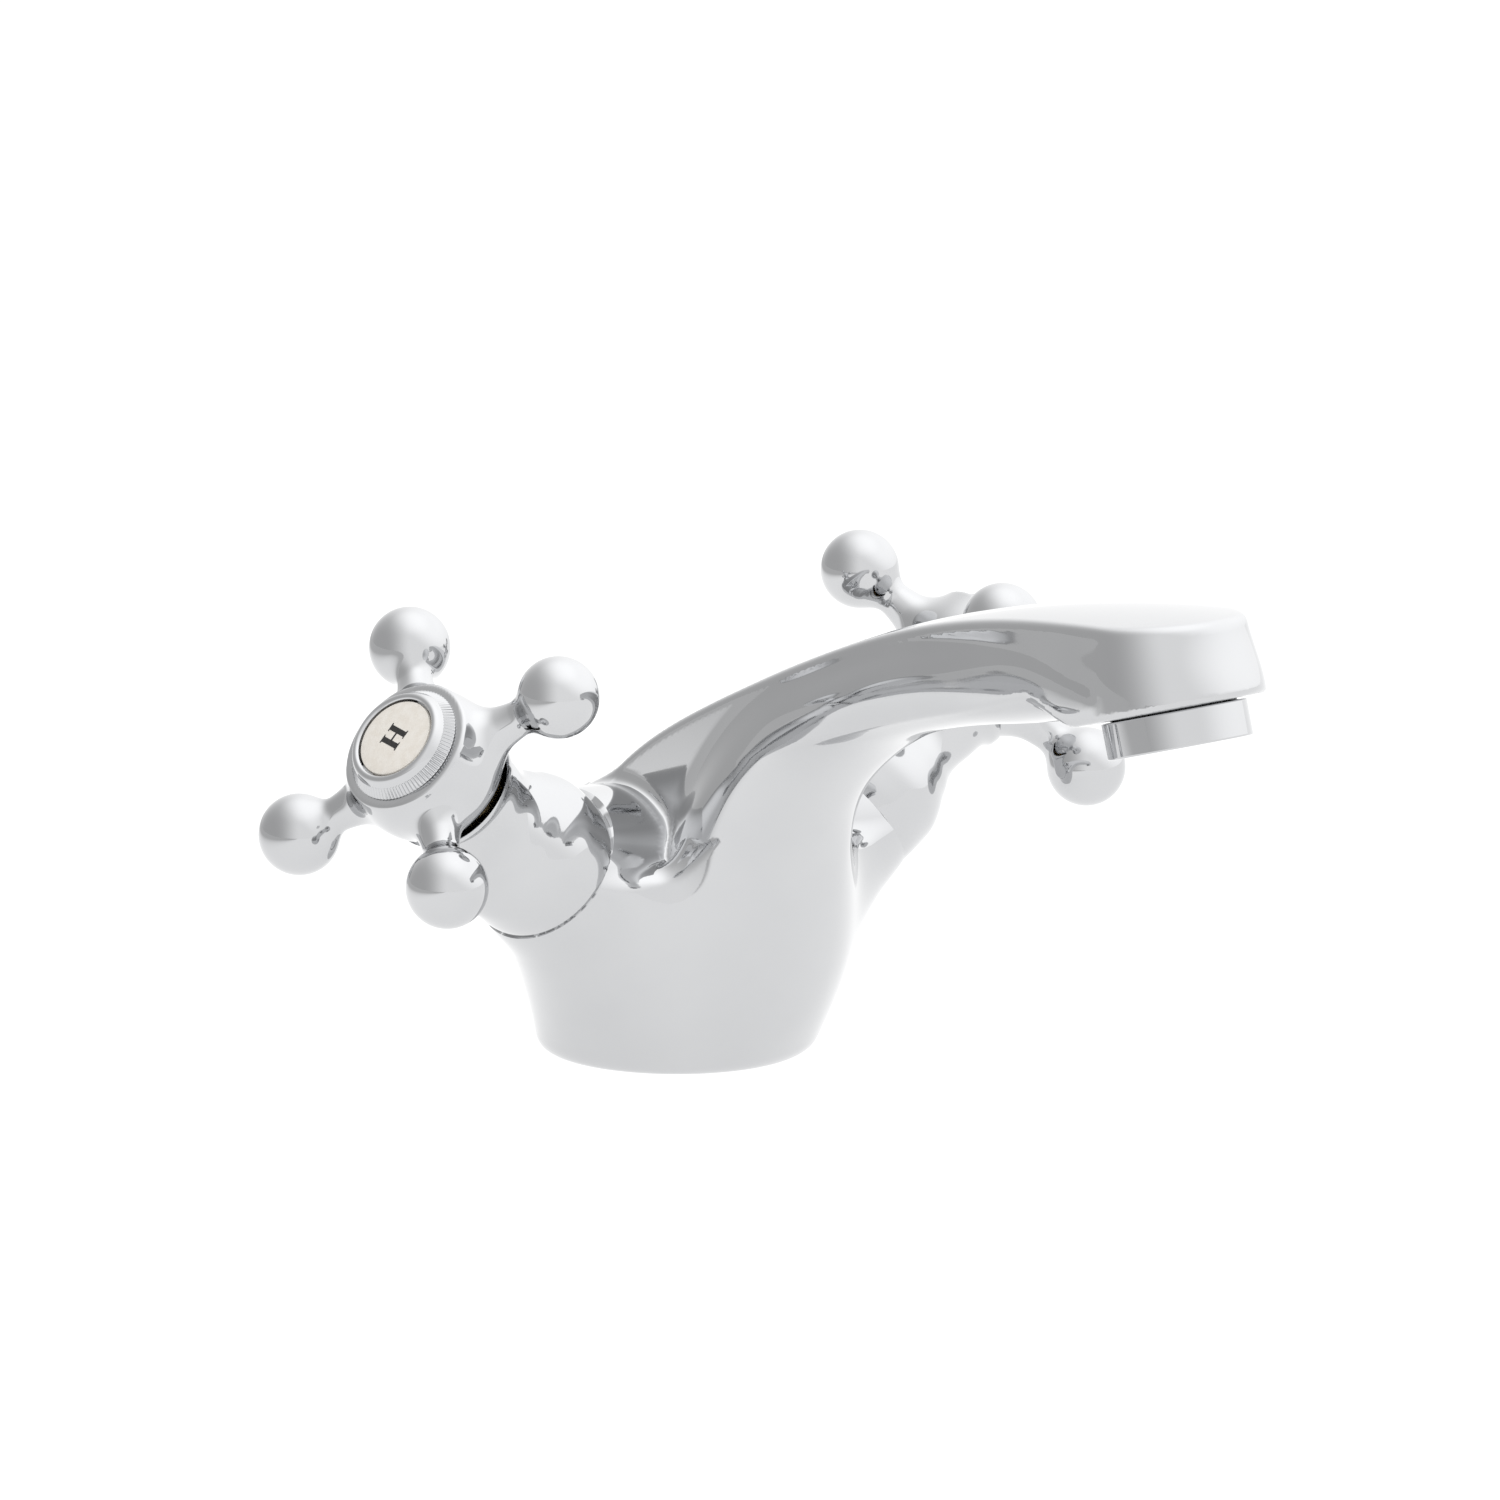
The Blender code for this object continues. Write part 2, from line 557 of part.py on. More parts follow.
def aerator():
    """Screwed collar, plastic stream former and sealing washer under the nose."""
    frame = add_empty("aerator_axis", nose_frame())
    turned("aerator_housing", AERATOR_OUTSIDE + AERATOR_INSIDE, CHROME, frame, 28, ring=True)
    insert = rod("aerator_insert", INSERT_RADIUS, INSERT_TOP, INSERT_BOTTOM, 20, frame, ACETAL)
    jets = [(0.0, 0.0)]
    for i in range(6):
        turn = math.pi / 3 * i
        jets.append((JET_CIRCLE_RADIUS * math.cos(turn), JET_CIRCLE_RADIUS * math.sin(turn)))
    for i, (x, y) in enumerate(jets):
        jet = rod("aerator_jet_%d" % i, JET_RADIUS, INSERT_TOP + 1, INSERT_BOTTOM - 1, 8, frame)
        jet.location = Vector((x, y, 0.0)) * MM
        cut(insert, jet)
    washer("aerator_washer", AERATOR_WASHER, RUBBER, frame)


def valve_set(label, frame):
    """Everything on one valve axis; the pieces that turn hang on an empty at the handle's rest angle."""
    turning = add_empty(label + "_handle_axis", Matrix.Rotation(HANDLE_REST[label], 4, "Z"), frame)
    shroud(label, frame)
    valve_body(label, frame)
    o_ring(label + "_valve_body_o_ring", VALVE_BODY_O_RING, frame)
    washer(label + "_seat_seal", SEAT_SEAL, RUBBER, frame)
    fixed_disc(label, frame)
    washer(label + "_thrust_washer", THRUST_WASHER, ACETAL, frame)
    moving_disc(label, turning)
    spindle(label, turning)
    o_ring(label + "_spindle_o_ring", SPINDLE_O_RING, turning)
    circlip(label, turning)
    cross_handle(label, turning)
    handle_screw(label, turning)
    index_ring(label, turning)
    o_ring(label + "_index_o_ring", INDEX_O_RING, turning)
    index_disc(label, turning)


def main():
    frames = {
        "hot": add_empty("hot_valve_axis", valve_frame(-1)),
        "cold": add_empty("cold_valve_axis", valve_frame(1)),
    }
    body_casting(frames)
    washer("base_gasket", (GASKET_OUTER, GASKET_INNER, GASKET_HEIGHT, 0.0), RUBBER, None, 40)
    aerator()
    for label, frame in frames.items():
        valve_set(label, frame)
    for obj in bpy.data.objects:
        if obj.type == "MESH":
            obj.data.shade_smooth()
            obj.data.set_sharp_from_angle(angle=math.radians(35))


main()
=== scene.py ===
"""Looks for the bathroom mixer faucet: fine meshes, chrome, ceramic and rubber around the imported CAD.

Lengths are in millimetres and are scaled to metres when a mesh is made. Heights on a valve or on the
aerator are measured along its own axis, as in the CAD.
"""

import json
import math

import bmesh
import bpy
import numpy as np
from mathutils import Matrix, Vector

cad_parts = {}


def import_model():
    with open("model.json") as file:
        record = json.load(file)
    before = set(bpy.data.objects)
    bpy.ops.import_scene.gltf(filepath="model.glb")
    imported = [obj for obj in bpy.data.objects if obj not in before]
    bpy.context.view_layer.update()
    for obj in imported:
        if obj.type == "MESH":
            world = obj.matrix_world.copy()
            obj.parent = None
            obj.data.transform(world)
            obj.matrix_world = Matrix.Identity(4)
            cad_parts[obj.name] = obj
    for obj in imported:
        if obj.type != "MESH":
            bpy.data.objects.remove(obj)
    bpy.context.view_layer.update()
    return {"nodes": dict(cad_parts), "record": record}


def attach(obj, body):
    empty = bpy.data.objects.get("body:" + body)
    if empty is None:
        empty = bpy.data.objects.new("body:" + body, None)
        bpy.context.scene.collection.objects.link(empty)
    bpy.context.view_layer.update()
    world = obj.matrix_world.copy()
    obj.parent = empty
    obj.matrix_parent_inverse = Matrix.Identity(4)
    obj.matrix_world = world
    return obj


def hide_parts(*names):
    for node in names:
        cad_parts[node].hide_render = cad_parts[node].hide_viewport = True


MM = 0.001

# Camera, in metres.
CAMERA_PLACE = (-1.1668, -1.3291, 0.4278)
CAMERA_LOOK = (0.6509, 0.73028, -0.2074)
CAMERA_LENS, CAMERA_SENSOR = 248.02, 36.0
CAMERA_NEAR, CAMERA_FAR = 0.05, 50.0

# White tent. Columns of a light, in degrees: azimuth and elevation of its middle, where its fading starts and
# where it ends, then its strength. Azimuth 0 is in front of the tap and 90 is to its right.
TENT_LIGHT = 1.18
TENT_LIGHTS = ((75, 48, 10, 75, 0.46), (0, 90, 10, 50, 0.12), (-132, 0, 15, 95, -0.60))

# Floor, in metres. Its glow dims between two distances towards the back left, as painted shade.
FLOOR_HALF = 6.0
FLOOR_LIGHT, FLOOR_DIM = 1.02, 0.46
FLOOR_DIM_SIDE = (-0.746, 0.665, 0.0)
FLOOR_DIM_START, FLOOR_DIM_END = 0.12, 0.42

# Valve axes, mirrored left and right, and the handles' angles at rest.
VALVE_LEAN = math.radians(37.87)
VALVE_TOE = math.radians(5.56)
HANDLE_CENTRE = (63.28, -8.7, 60.33)
SEAT = -36.5
HANDLE_REST = {"hot": 42.4, "cold": 49.5}
LETTER_TURN = {"hot": 80.5, "cold": 99.5}
SIDES = {"hot": -1, "cold": 1}

# Belly of the casting. Columns: y, z, radius in its own plane, half width, squareness of the section.
BELLY = np.array([
    (0.3, -6.0, 23.4, 23.4, 2.0),
    (-0.2, 4.0, 24.5, 24.5, 2.0),
    (-3.6, 14.0, 25.6, 25.6, 2.0),
    (-16.5, 26.2, 19.0, 20.3, 2.0),
    (-25.0, 44.1, 12.5, 16.3, 2.0),
    (-40.2, 63.0, 10.5, 13.6, 2.1),
    (-55.4, 70.8, 8.3, 14.2, 2.2),
    (-71.1, 76.6, 8.5, 13.8, 2.3),
    (-84.3, 79.5, 8.4, 13.7, 2.5),
    (-96.4, 81.4, 8.0, 14.0, 2.8),
    (-107.0, 82.2, 6.6, 14.6, 3.0),
    (-115.3, 81.7, 4.6, 15.0, 3.0),
    (-120.6, 81.8, 3.0, 15.0, 3.0),
])

# Arms and the wider bowl under them: radius at the seat, radius in the middle, straight run, swell.
ARM = (13.0, 18.04, 3.4, 1.0)
BOWL = (13.4, 19.0, 20.0, 0.9)
ARM_MIDDLE, ARM_LEVEL = (0.0, 2.39, 29.41), 12.0
PAST_SEAT, PAST_MIDDLE = (3.0, 2.0, 1.0), (1.0, 2.0)
BOWL_BLEND, ARM_FILLET = 16.0, 1.6
SEAT_EXCESS, SEAT_REACH = 1.0, 26.0

# Rim where the bowl stops. It climbs beside the spout in front and all along the back.
RIM_HEIGHT, RIM_EDGE = 38.0, 3.0
RIM_HALF_WIDTH, RIM_RISE = 23.0, 0.14
RIM_FRONT, RIM_FRONT_RUN = -17.0, 6.0
RIM_BACK, RIM_BACK_RUN, RIM_BACK_RISE = -4.0, 12.0, 25.0

# Base edge of the casting.
BASE_LEVEL, BASE_EDGE = -0.15, 3.0

# Spout blade: its top edge seen from the side as (y, z), and its nose.
BLADE_TOP = np.array([
    (9.0, 44.5), (0.6, 52.5), (-7.4, 58.2), (-15.3, 62.6), (-30.9, 70.3), (-46.3, 77.0), (-61.4, 83.0),
    (-71.0, 86.3), (-84.0, 89.6), (-95.0, 91.6), (-106.0, 93.3), (-117.0, 94.4), (-127.0, 94.9),
    (-140.0, 94.9), (-150.0, 94.5),
])
BLADE_RUN, BLADE_BACK = (-148.0, 8.0), 10.0
BLADE_HALF_WIDTH, NOSE_RADIUS = 11.6, 15.0
BLADE_FLARE_START, BLADE_FLARE_LENGTH = -75.0, 50.0
BLADE_CROWN = 1.0
BLADE_TOP_EDGE, BLADE_LOWER_EDGE = 1.7, 1.2
NOSE_BULGE, NOSE_BULGE_DEPTH = 1.1, 11.0
NOSE_TILT = math.radians(15.9)
NOSE_Y, NOSE_Z = -125.4, 79.6

# Underside of the blade: lifted into the belly behind the nose, and let down inside the body at the root.
LIFT, LIFT_START, LIFT_RUN = 7.0, -118.0, 14.0
ROOT_DROP, ROOT_START, ROOT_RUN = 30.0, -32.0, 24.0

# Crease between the blade and the belly: its fillet shrinks towards the nose.
CREASE_FILLET, CREASE_SHRINK = 3.0, 1.6
CREASE_START, CREASE_RUN = -25.0, 80.0

# Machined features of the casting.
VALVE_BORE = [(0, -28.0), (21.0, -28.0), (21.0, SEAT), (11.7, SEAT), (11.7, -38.2), (10.25, -38.2),
              (10.25, -47.0), (9.8, -47.4), (9.8, -56.3), (0, -56.3)]
AERATOR_CAVITY = [(0, 12.0), (6.5, 12.0), (8.0, 8.3), (10.9, 8.3), (10.9, -3.0), (0, -3.0)]
DECK_CUT = [(0, 0.0), (40.0, 0.0), (40.0, -8.0), (0, -8.0)]
GASKET_GROOVE = [(22.0, 2.3), (22.0, -4.0), (18.5, -4.0), (18.5, 2.3)]
SOCKETS = ((-9.5, 4.0, 4.6), (9.5, 4.0, 4.6), (0.0, -13.0, 3.4))
SOCKET_DEPTH, SOCKET_MOUTH = 14.0, -4.0

# Cross handle in the valve's frame.
HUB_SIDE = np.array([(7.0, 12.2), (4.0, 12.9), (1.0, 13.3), (-2.0, 13.1), (-4.6, 12.3), (-6.2, 11.2)])
HUB_TOP, HUB_BOTTOM, HUB_MARGIN = 7.3, -6.2, 0.5
HUB_TOP_EDGE, HUB_BOTTOM_EDGE = 0.7, 0.5
HUB_RECESS = [(0, 9.0), (7.9, 9.0), (7.9, 1.3), (2.4, 1.3), (2.4, -0.7), (4.3, -0.7), (4.3, -8.0), (0, -8.0)]
ARM_NECK = np.array([(8.0, 5.9), (10.6, 5.2), (13.4, 4.3), (16.5, 3.45), (19.1, 3.15), (22.0, 3.3)])
NECK_RUN, NECK_END = (6.0, 22.0), 24.0
BALL_RADIUS, BALL_DISTANCE = 7.06, 26.8
BALL_FILLET, CROSS_FILLET, HUB_FILLET = 2.0, 4.0, 3.0

# Turned pieces: (radius, height) down the outside, then back up the inside.
SHROUD_WAIST = [(11.7, -8.0), (10.7, -9.3), (10.2, -12.0), (9.84, -14.7), (9.70, -17.0), (10.2, -19.3),
                (11.0, -21.0), (11.85, -23.0), (12.7, -24.7), (13.4, -26.4), (13.9, -28.3), (14.0, -31.0),
                (13.84, -35.0), (13.62, -36.45)]
SHROUD_LIP = [(10.6, -7.0), (11.9, -7.0)]
SHROUD_INSIDE = [(12.4, -36.45), (12.6, -31.5), (12.0, -28.0), (9.1, -20.0), (7.7, -18.4), (7.7, -14.6),
                 (9.0, -13.0)]
SHROUD_INNER_ROUND, COLLAR_ROUND, INSERT_ROUND = 0.6, 0.35, 0.3
RING_TOP = [(7.45, 9.6), (7.45, 10.2), (7.75, 10.5), (8.3, 10.5), (8.9, 9.95)]
RING_WALL = [(9.4, 9.0), (10.6, 7.6), (10.5, 7.4)]
RING_SPIGOT = [(7.55, 7.4), (7.55, 6.6), (6.7, 6.6), (6.7, 5.2), (7.55, 5.2), (7.55, 4.4), (5.8, 4.4),
               (5.8, 7.4), (2.5, 7.4), (2.5, 8.7), (7.45, 8.7)]
RING_TEETH, TOOTH_DEPTH, TOOTH_FOOT = 96, 0.36, 9.0
TOOTH_HEIGHTS = (7.5, 9.1)
DISC_OUTLINE = [(0, 10.45), (1.8, 10.44), (3.5, 10.4), (5.0, 10.33), (6.3, 10.23), (7.0, 10.1), (7.2, 9.8),
                (7.2, 9.0), (0, 9.0)]
COLLAR_OUTLINE = [(9.6, 6.0), (10.6, 5.6), (10.6, -0.3), (12.3, -0.3), (12.3, -6.5), (8.4, -6.5), (8.4, -5.2),
                  (9.3, -5.2), (9.3, 6.0)]
INSERT_OUTLINE = [(0, 5.6), (9.0, 5.6), (9.0, -4.9), (0, -4.9)]
JET_OUTLINE = [(0, 8.0), (1.5, 8.0), (1.5, -7.0), (0, -7.0)]
JET_CIRCLE, OUTER_JETS = 5.4, 6

# Letters on the discs. The outlines are one unit high about their own centre.
LETTER_HEIGHT, LETTER_TOP, LETTER_FOOT = 4.2, 10.47, 10.3
H_QUARTER = [(0.0, 0.045), (0.17, 0.045), (0.17, 0.44), (0.09, 0.46), (0.09, 0.50), (0.49, 0.50),
             (0.49, 0.46), (0.41, 0.44), (0.41, 0.0)]
C_START, C_SWEEP, C_STEPS = math.radians(38), math.radians(284), 24
C_OUTER, C_INNER, C_INNER_SHIFT = (0.47, 0.51), (0.28, 0.45), 0.05
C_TOP, C_TOP_NOTCH = (0.40, 0.48), (0.40, 0.17)
C_BOTTOM, C_BOTTOM_NOTCH = (0.40, -0.48), (0.40, -0.20)

# Mesh fineness.
BODY_STEP, BODY_BOX = 0.8, ((-48.0, -146.0, -4.0), (48.0, 32.0, 98.0))
HANDLE_STEP, HANDLE_BOX = 0.5, ((-36.0, -36.0, -9.0), (36.0, 36.0, 9.5))
BLOCK, NEAR_BLOCKS = 6, 1.5
BELLY_COUNT, ARM_COUNT = 130, 56
TOP_DEGREE, SIDE_DEGREE = 7, 3
TURNED_STEPS, CUTTER_STEPS, GROOVE_STEPS, SOCKET_STEPS, JET_STEPS = 144, 96, 128, 64, 32
STEPS_PER_TOOTH = 8
WAIST_COUNT, RING_TOP_COUNT = 60, 16
CORNER_STEPS, CORNER_SHARE = 4, 0.4

# Shading.
SLOPE_STEP = 0.15
SHARP_CORNER = 0.75
SHARP_ANGLE = math.radians(35)
ON_SURFACE, SAME_WAY = 0.1, 0.8
NEAR_ZERO, SAME_PLACE = 1e-6, 1e-4
NOISE_LOW, NOISE_HIGH = 0.35, 0.65


def smooth_step(value):
    value = np.clip(value, 0.0, 1.0)
    return value * value * (3.0 - 2.0 * value)


def smooth_union(a, b, blend):
    """Join two distance fields with a fillet about as wide as blend."""
    mix = np.clip(0.5 + 0.5 * (b - a) / blend, 0.0, 1.0)
    return b + (a - b) * mix - blend * mix * (1.0 - mix)


def smooth_overlap(a, b, blend):
    return -smooth_union(-a, -b, blend)


def spline(rows, count):
    """Read a natural cubic spline through rows of numbers, spaced along their first two columns."""
    gaps = np.hypot(*np.diff(rows[:, :2], axis=0).T)
    knots = np.concatenate([[0.0], np.cumsum(gaps)])
    size = len(rows)
    system = np.eye(size)
    known = np.zeros_like(rows)
    for i in range(1, size - 1):
        system[i, i - 1:i + 2] = gaps[i - 1], 2.0 * (gaps[i - 1] + gaps[i]), gaps[i]
        known[i] = 6.0 * ((rows[i + 1] - rows[i]) / gaps[i] - (rows[i] - rows[i - 1]) / gaps[i - 1])
    bend = np.linalg.solve(system, known)
    at = np.linspace(0.0, knots[-1], count)
    span = np.clip(np.searchsorted(knots, at, side="right") - 1, 0, size - 2)
    gap = gaps[span][:, None]
    right = ((at - knots[span]) / gaps[span])[:, None]
    left = 1.0 - right
    curve = left * rows[span] + right * rows[span + 1]
    return curve + ((left**3 - left) * bend[span] + (right**3 - right) * bend[span + 1]) * gap**2 / 6.0


def tube_field(points, samples):
    """Distance to a tube. A sample holds x, y, z, radius, half width and squareness."""
    best = np.full(len(points), np.inf)
    index = np.zeros(len(points), int)
    squeeze = samples[:, 3] / samples[:, 4]
    for i, row in enumerate(samples):
        across = (points[:, 0] - row[0]) * squeeze[i]
        reach = np.sqrt(across**2 + (points[:, 1] - row[1])**2 + (points[:, 2] - row[2])**2) - row[3]
        closer = reach < best
        best[closer] = reach[closer]
        index[closer] = i
    index = np.clip(index, 1, len(samples) - 2)
    around = []
    for step in (-1, 0, 1):
        row = samples[index + step]
        across = (points[:, 0] - row[:, 0]) * row[:, 3] / row[:, 4]
        reach = np.sqrt(across**2 + (points[:, 1] - row[:, 1])**2 + (points[:, 2] - row[:, 2])**2)
        around.append(reach - row[:, 3])
    curve = around[0] - 2.0 * around[1] + around[2]
    shift = np.clip(0.5 * (around[0] - around[2]) / np.maximum(curve, 1e-9), -1.0, 1.0)[:, None]
    before, here, after = samples[index - 1], samples[index], samples[index + 1]
    row = here + 0.5 * shift * (after - before) + 0.5 * shift**2 * (after - 2.0 * here + before)
    across = np.abs(points[:, 0] - row[:, 0]) * row[:, 3] / row[:, 4]
    plane = np.hypot(points[:, 1] - row[:, 1], points[:, 2] - row[:, 2])
    return (across**row[:, 5] + plane**row[:, 5])**(1.0 / row[:, 5]) - row[:, 3]


def valve_normal(side):
    lean = math.cos(VALVE_LEAN)
    return Vector((side * lean * math.cos(VALVE_TOE), -lean * math.sin(VALVE_TOE), math.sin(VALVE_LEAN)))


def valve_frame(side, turn=0.0):
    """Local Z is the outward valve axis and local X points forward, in millimetres."""
    normal = valve_normal(side)
    forward = Vector((0.0, -1.0, 0.0))
    forward = (forward - normal * forward.dot(normal)).normalized()
    place = Matrix((forward, normal.cross(forward), normal)).transposed().to_4x4()
    place.translation = Vector((side * HANDLE_CENTRE[0], HANDLE_CENTRE[1], HANDLE_CENTRE[2]))
    return place @ Matrix.Rotation(math.radians(turn), 4, "Z")


def nose_frame():
    """Local Z runs up the outlet's axis, from the middle of the nose's underside."""
    return Matrix.Translation((0.0, NOSE_Y, NOSE_Z)) @ Matrix.Rotation(-NOSE_TILT, 4, "X")


def belly_samples():
    rows = spline(BELLY, BELLY_COUNT)
    return np.hstack([np.zeros((len(rows), 1)), rows])


def arm_samples(seat_radius, middle_radius, straight, swell):
    """The arm on the +X side, run a little past its seat, where the bore's cutter faces it off."""
    normal = np.array(valve_normal(1))
    seat = np.array(valve_frame(1).translation) + normal * SEAT
    middle = np.array(ARM_MIDDLE)
    ends = (seat, seat - normal * straight, middle + np.array((ARM_LEVEL, 0.0, 0.0)), middle)
    rows = [(*(seat + normal * reach), seat_radius, seat_radius, 2.0) for reach in PAST_SEAT]
    for i in range(ARM_COUNT):
        t = i / (ARM_COUNT - 1)
        weights = ((1 - t)**3, 3 * t * (1 - t)**2, 3 * t**2 * (1 - t), t**3)
        centre = sum(weight * end for weight, end in zip(weights, ends))
        radius = seat_radius + (middle_radius - seat_radius) * math.sin(math.pi / 2 * t)**swell
        rows.append((*centre, radius, radius, 2.0))
    for reach in PAST_MIDDLE:
        rows.append((-reach, *rows[-1][1:]))
    return np.array(rows)


BELLY_SAMPLES = belly_samples()
ARM_SAMPLES = arm_samples(*ARM)
BOWL_SAMPLES = arm_samples(*BOWL)
ARM_NORMAL = np.array(valve_normal(1))
ARM_SEAT = np.array(valve_frame(1).translation) + ARM_NORMAL * SEAT
TOP_CURVE = np.polynomial.Polynomial.fit(BLADE_TOP[:, 0], BLADE_TOP[:, 1], TOP_DEGREE)
HUB_CURVE = np.polynomial.Polynomial.fit(HUB_SIDE[:, 0], HUB_SIDE[:, 1], SIDE_DEGREE)
NECK_CURVE = np.polynomial.Polynomial.fit(ARM_NECK[:, 0], ARM_NECK[:, 1], SIDE_DEGREE)


def blade_field(x, y, z):
    """The spout's slab: upright flanks that open into a round nose, a crowned top and a sloping underside."""
    rise = math.tan(NOSE_TILT)
    plan_y = y - rise * (z - NOSE_Z)
    flare = smooth_step((BLADE_FLARE_START - plan_y) / BLADE_FLARE_LENGTH)
    along = np.clip(y, *BLADE_RUN)
    top_height = TOP_CURVE(along)
    bulge = NOSE_BULGE * smooth_step((top_height - z) / NOSE_BULGE_DEPTH)
    half = BLADE_HALF_WIDTH + (NOSE_RADIUS - BLADE_HALF_WIDTH + bulge) * flare
    plan = np.hypot(x, np.minimum(plan_y - NOSE_Y, 0.0)) - half
    slope = TOP_CURVE.deriv()(along)
    crown = BLADE_CROWN * (1.0 - np.minimum(x / half, 1.0)**2)
    top = (z - top_height - crown) / np.sqrt(1.0 + slope**2)
    underside = NOSE_Z + rise * (NOSE_Y - y)
    hidden = LIFT * smooth_step((y - LIFT_START) / LIFT_RUN)
    hidden -= ROOT_DROP * smooth_step((y - ROOT_START) / ROOT_RUN)
    bottom = (underside + hidden - z) * math.cos(NOSE_TILT)
    slab = smooth_overlap(plan, top, BLADE_TOP_EDGE)
    slab = smooth_overlap(slab, bottom, BLADE_LOWER_EDGE)
    return np.maximum(slab, y - BLADE_BACK)


def body_field(points):
    """The casting's outside, a little long at its base and at its seats, where cutters face it off."""
    x, y, z = np.abs(points[:, 0]), points[:, 1], points[:, 2]
    folded = np.column_stack([x, y, z])
    belly = tube_field(folded, BELLY_SAMPLES)
    front = smooth_step((RIM_FRONT - y) / RIM_FRONT_RUN)
    rim = RIM_HEIGHT + RIM_RISE * np.maximum(0.0, RIM_HALF_WIDTH - x)**2 * front
    rim += RIM_BACK_RISE * smooth_step((y - RIM_BACK) / RIM_BACK_RUN)
    hull = smooth_union(belly, tube_field(folded, BOWL_SAMPLES), BOWL_BLEND)
    hull = smooth_overlap(hull, z - rim, RIM_EDGE)
    body = np.minimum(belly, hull)
    body = smooth_union(body, tube_field(folded, ARM_SAMPLES), ARM_FILLET)
    past_seat = (folded - ARM_SEAT) @ ARM_NORMAL - SEAT_EXCESS
    near_seat = np.linalg.norm(folded - ARM_SEAT, axis=1) < SEAT_REACH
    body = np.where(near_seat, np.maximum(body, past_seat), body)
    forward = smooth_step((CREASE_START - y) / CREASE_RUN)
    body = smooth_union(body, blade_field(x, y, z), CREASE_FILLET - CREASE_SHRINK * forward)
    return smooth_overlap(body, BASE_LEVEL - z, BASE_EDGE)


def handle_field(points):
    """The cross handle in its valve's frame: barrel hub, four necked arms and four balls."""
    x, y, z = np.abs(points[:, 0]), np.abs(points[:, 1]), points[:, 2]
    radius = np.hypot(x, y)
    side = radius - HUB_CURVE(np.clip(z, HUB_BOTTOM - HUB_MARGIN, HUB_TOP + HUB_MARGIN))
    hub = smooth_overlap(side, z - HUB_TOP, HUB_TOP_EDGE)
    hub = smooth_overlap(hub, HUB_BOTTOM - z, HUB_BOTTOM_EDGE)
    arms = []
    for along, across in ((x, y), (y, x)):
        neck = np.hypot(across, z) - NECK_CURVE(np.clip(along, *NECK_RUN))
        neck = np.maximum(neck, along - NECK_END)
        ball = np.sqrt((along - BALL_DISTANCE)**2 + across**2 + z**2) - BALL_RADIUS
        arms.append(smooth_union(neck, ball, BALL_FILLET))
    return smooth_union(smooth_union(arms[0], arms[1], CROSS_FILLET), hub, HUB_FILLET)


def slope_of(field, points):
    """The field's gradient by central differences."""
    slope = np.empty_like(points)
    for axis in range(3):
        shift = np.zeros(3)
        shift[axis] = SLOPE_STEP
        slope[:, axis] = (field(points + shift) - field(points - shift)) / (2.0 * SLOPE_STEP)
    return slope


def sample_field(field, low, high, step):
    """Values on a grid, exact in the blocks near the surface and rough in the others."""
    low, high = np.array(low, float), np.array(high, float)
    blocks = np.ceil((high - low) / (step * BLOCK)).astype(int)
    axes = [low[i] + step * np.arange(blocks[i] * BLOCK) for i in range(3)]
    middles = [axis.reshape(-1, BLOCK).mean(axis=1) for axis in axes]
    centres = np.stack(np.meshgrid(*middles, indexing="ij"), axis=-1)
    rough = field(centres.reshape(-1, 3)).reshape(blocks)
    values = rough.repeat(BLOCK, 0).repeat(BLOCK, 1).repeat(BLOCK, 2)
    near = np.argwhere(np.abs(rough) < BLOCK * step * NEAR_BLOCKS)
    inner = np.argwhere(np.ones((BLOCK,) * 3, bool))
    index = (near[:, None] * BLOCK + inner[None]).reshape(-1, 3)
    values[tuple(index.T)] = field(low + step * index)
    return values


def surface_net(values):
    """Points and quads between the inside and the outside of a grid of values."""
    inside = values < 0.0
    size = np.array(values.shape) - 1
    corners = [(i, j, k) for i in (0, 1) for j in (0, 1) for k in (0, 1)]
    count = np.zeros(size, np.uint8)
    for i, j, k in corners:
        count += inside[i:i + size[0], j:j + size[1], k:k + size[2]]
    cells = np.argwhere((count > 0) & (count < 8))
    total = np.zeros((len(cells), 3))
    crossings = np.zeros(len(cells))
    for axis in range(3):
        for start in corners:
            if start[axis] == 1:
                continue
            first = cells + start
            second = first + np.eye(3, dtype=int)[axis]
            a, b = values[tuple(first.T)], values[tuple(second.T)]
            crossed = (a < 0.0) != (b < 0.0)
            share = np.where(crossed, a / np.where(crossed, a - b, 1.0), 0.0)
            spot = np.array(start, float) + share[:, None] * np.eye(3)[axis]
            total += spot * crossed[:, None]
            crossings += crossed
    points = cells + total / crossings[:, None]
    number = np.full(size, -1)
    number[tuple(cells.T)] = np.arange(len(cells))
    quads = []
    for axis in range(3):
        right, up = np.eye(3, dtype=int)[(axis + 1) % 3], np.eye(3, dtype=int)[(axis + 2) % 3]
        a = inside[tuple(slice(0, s) for s in size)]
        reach = np.eye(3, dtype=int)[axis]
        b = inside[tuple(slice(r, r + s) for r, s in zip(reach, size))]
        at = np.argwhere(a != b)
        ring = [at - right - up, at - up, at, at - right]
        faces = np.stack([number[tuple(cell.T)] for cell in ring], axis=1)
        outward = a[tuple(at.T)]
        quads.append(np.where(outward[:, None], faces, faces[:, ::-1]))
    return points, np.concatenate(quads)


def relax(points, quads):
    """Move each point half way to the mean of its neighbours."""
    starts = quads.ravel()
    ends = np.roll(quads, -1, axis=1).ravel()
    total = np.zeros_like(points)
    for axis in range(3):
        total[:, axis] = np.bincount(starts, points[ends, axis], len(points))
    count = np.bincount(starts, minlength=len(points))
    return 0.5 * points + 0.5 * total / count[:, None]


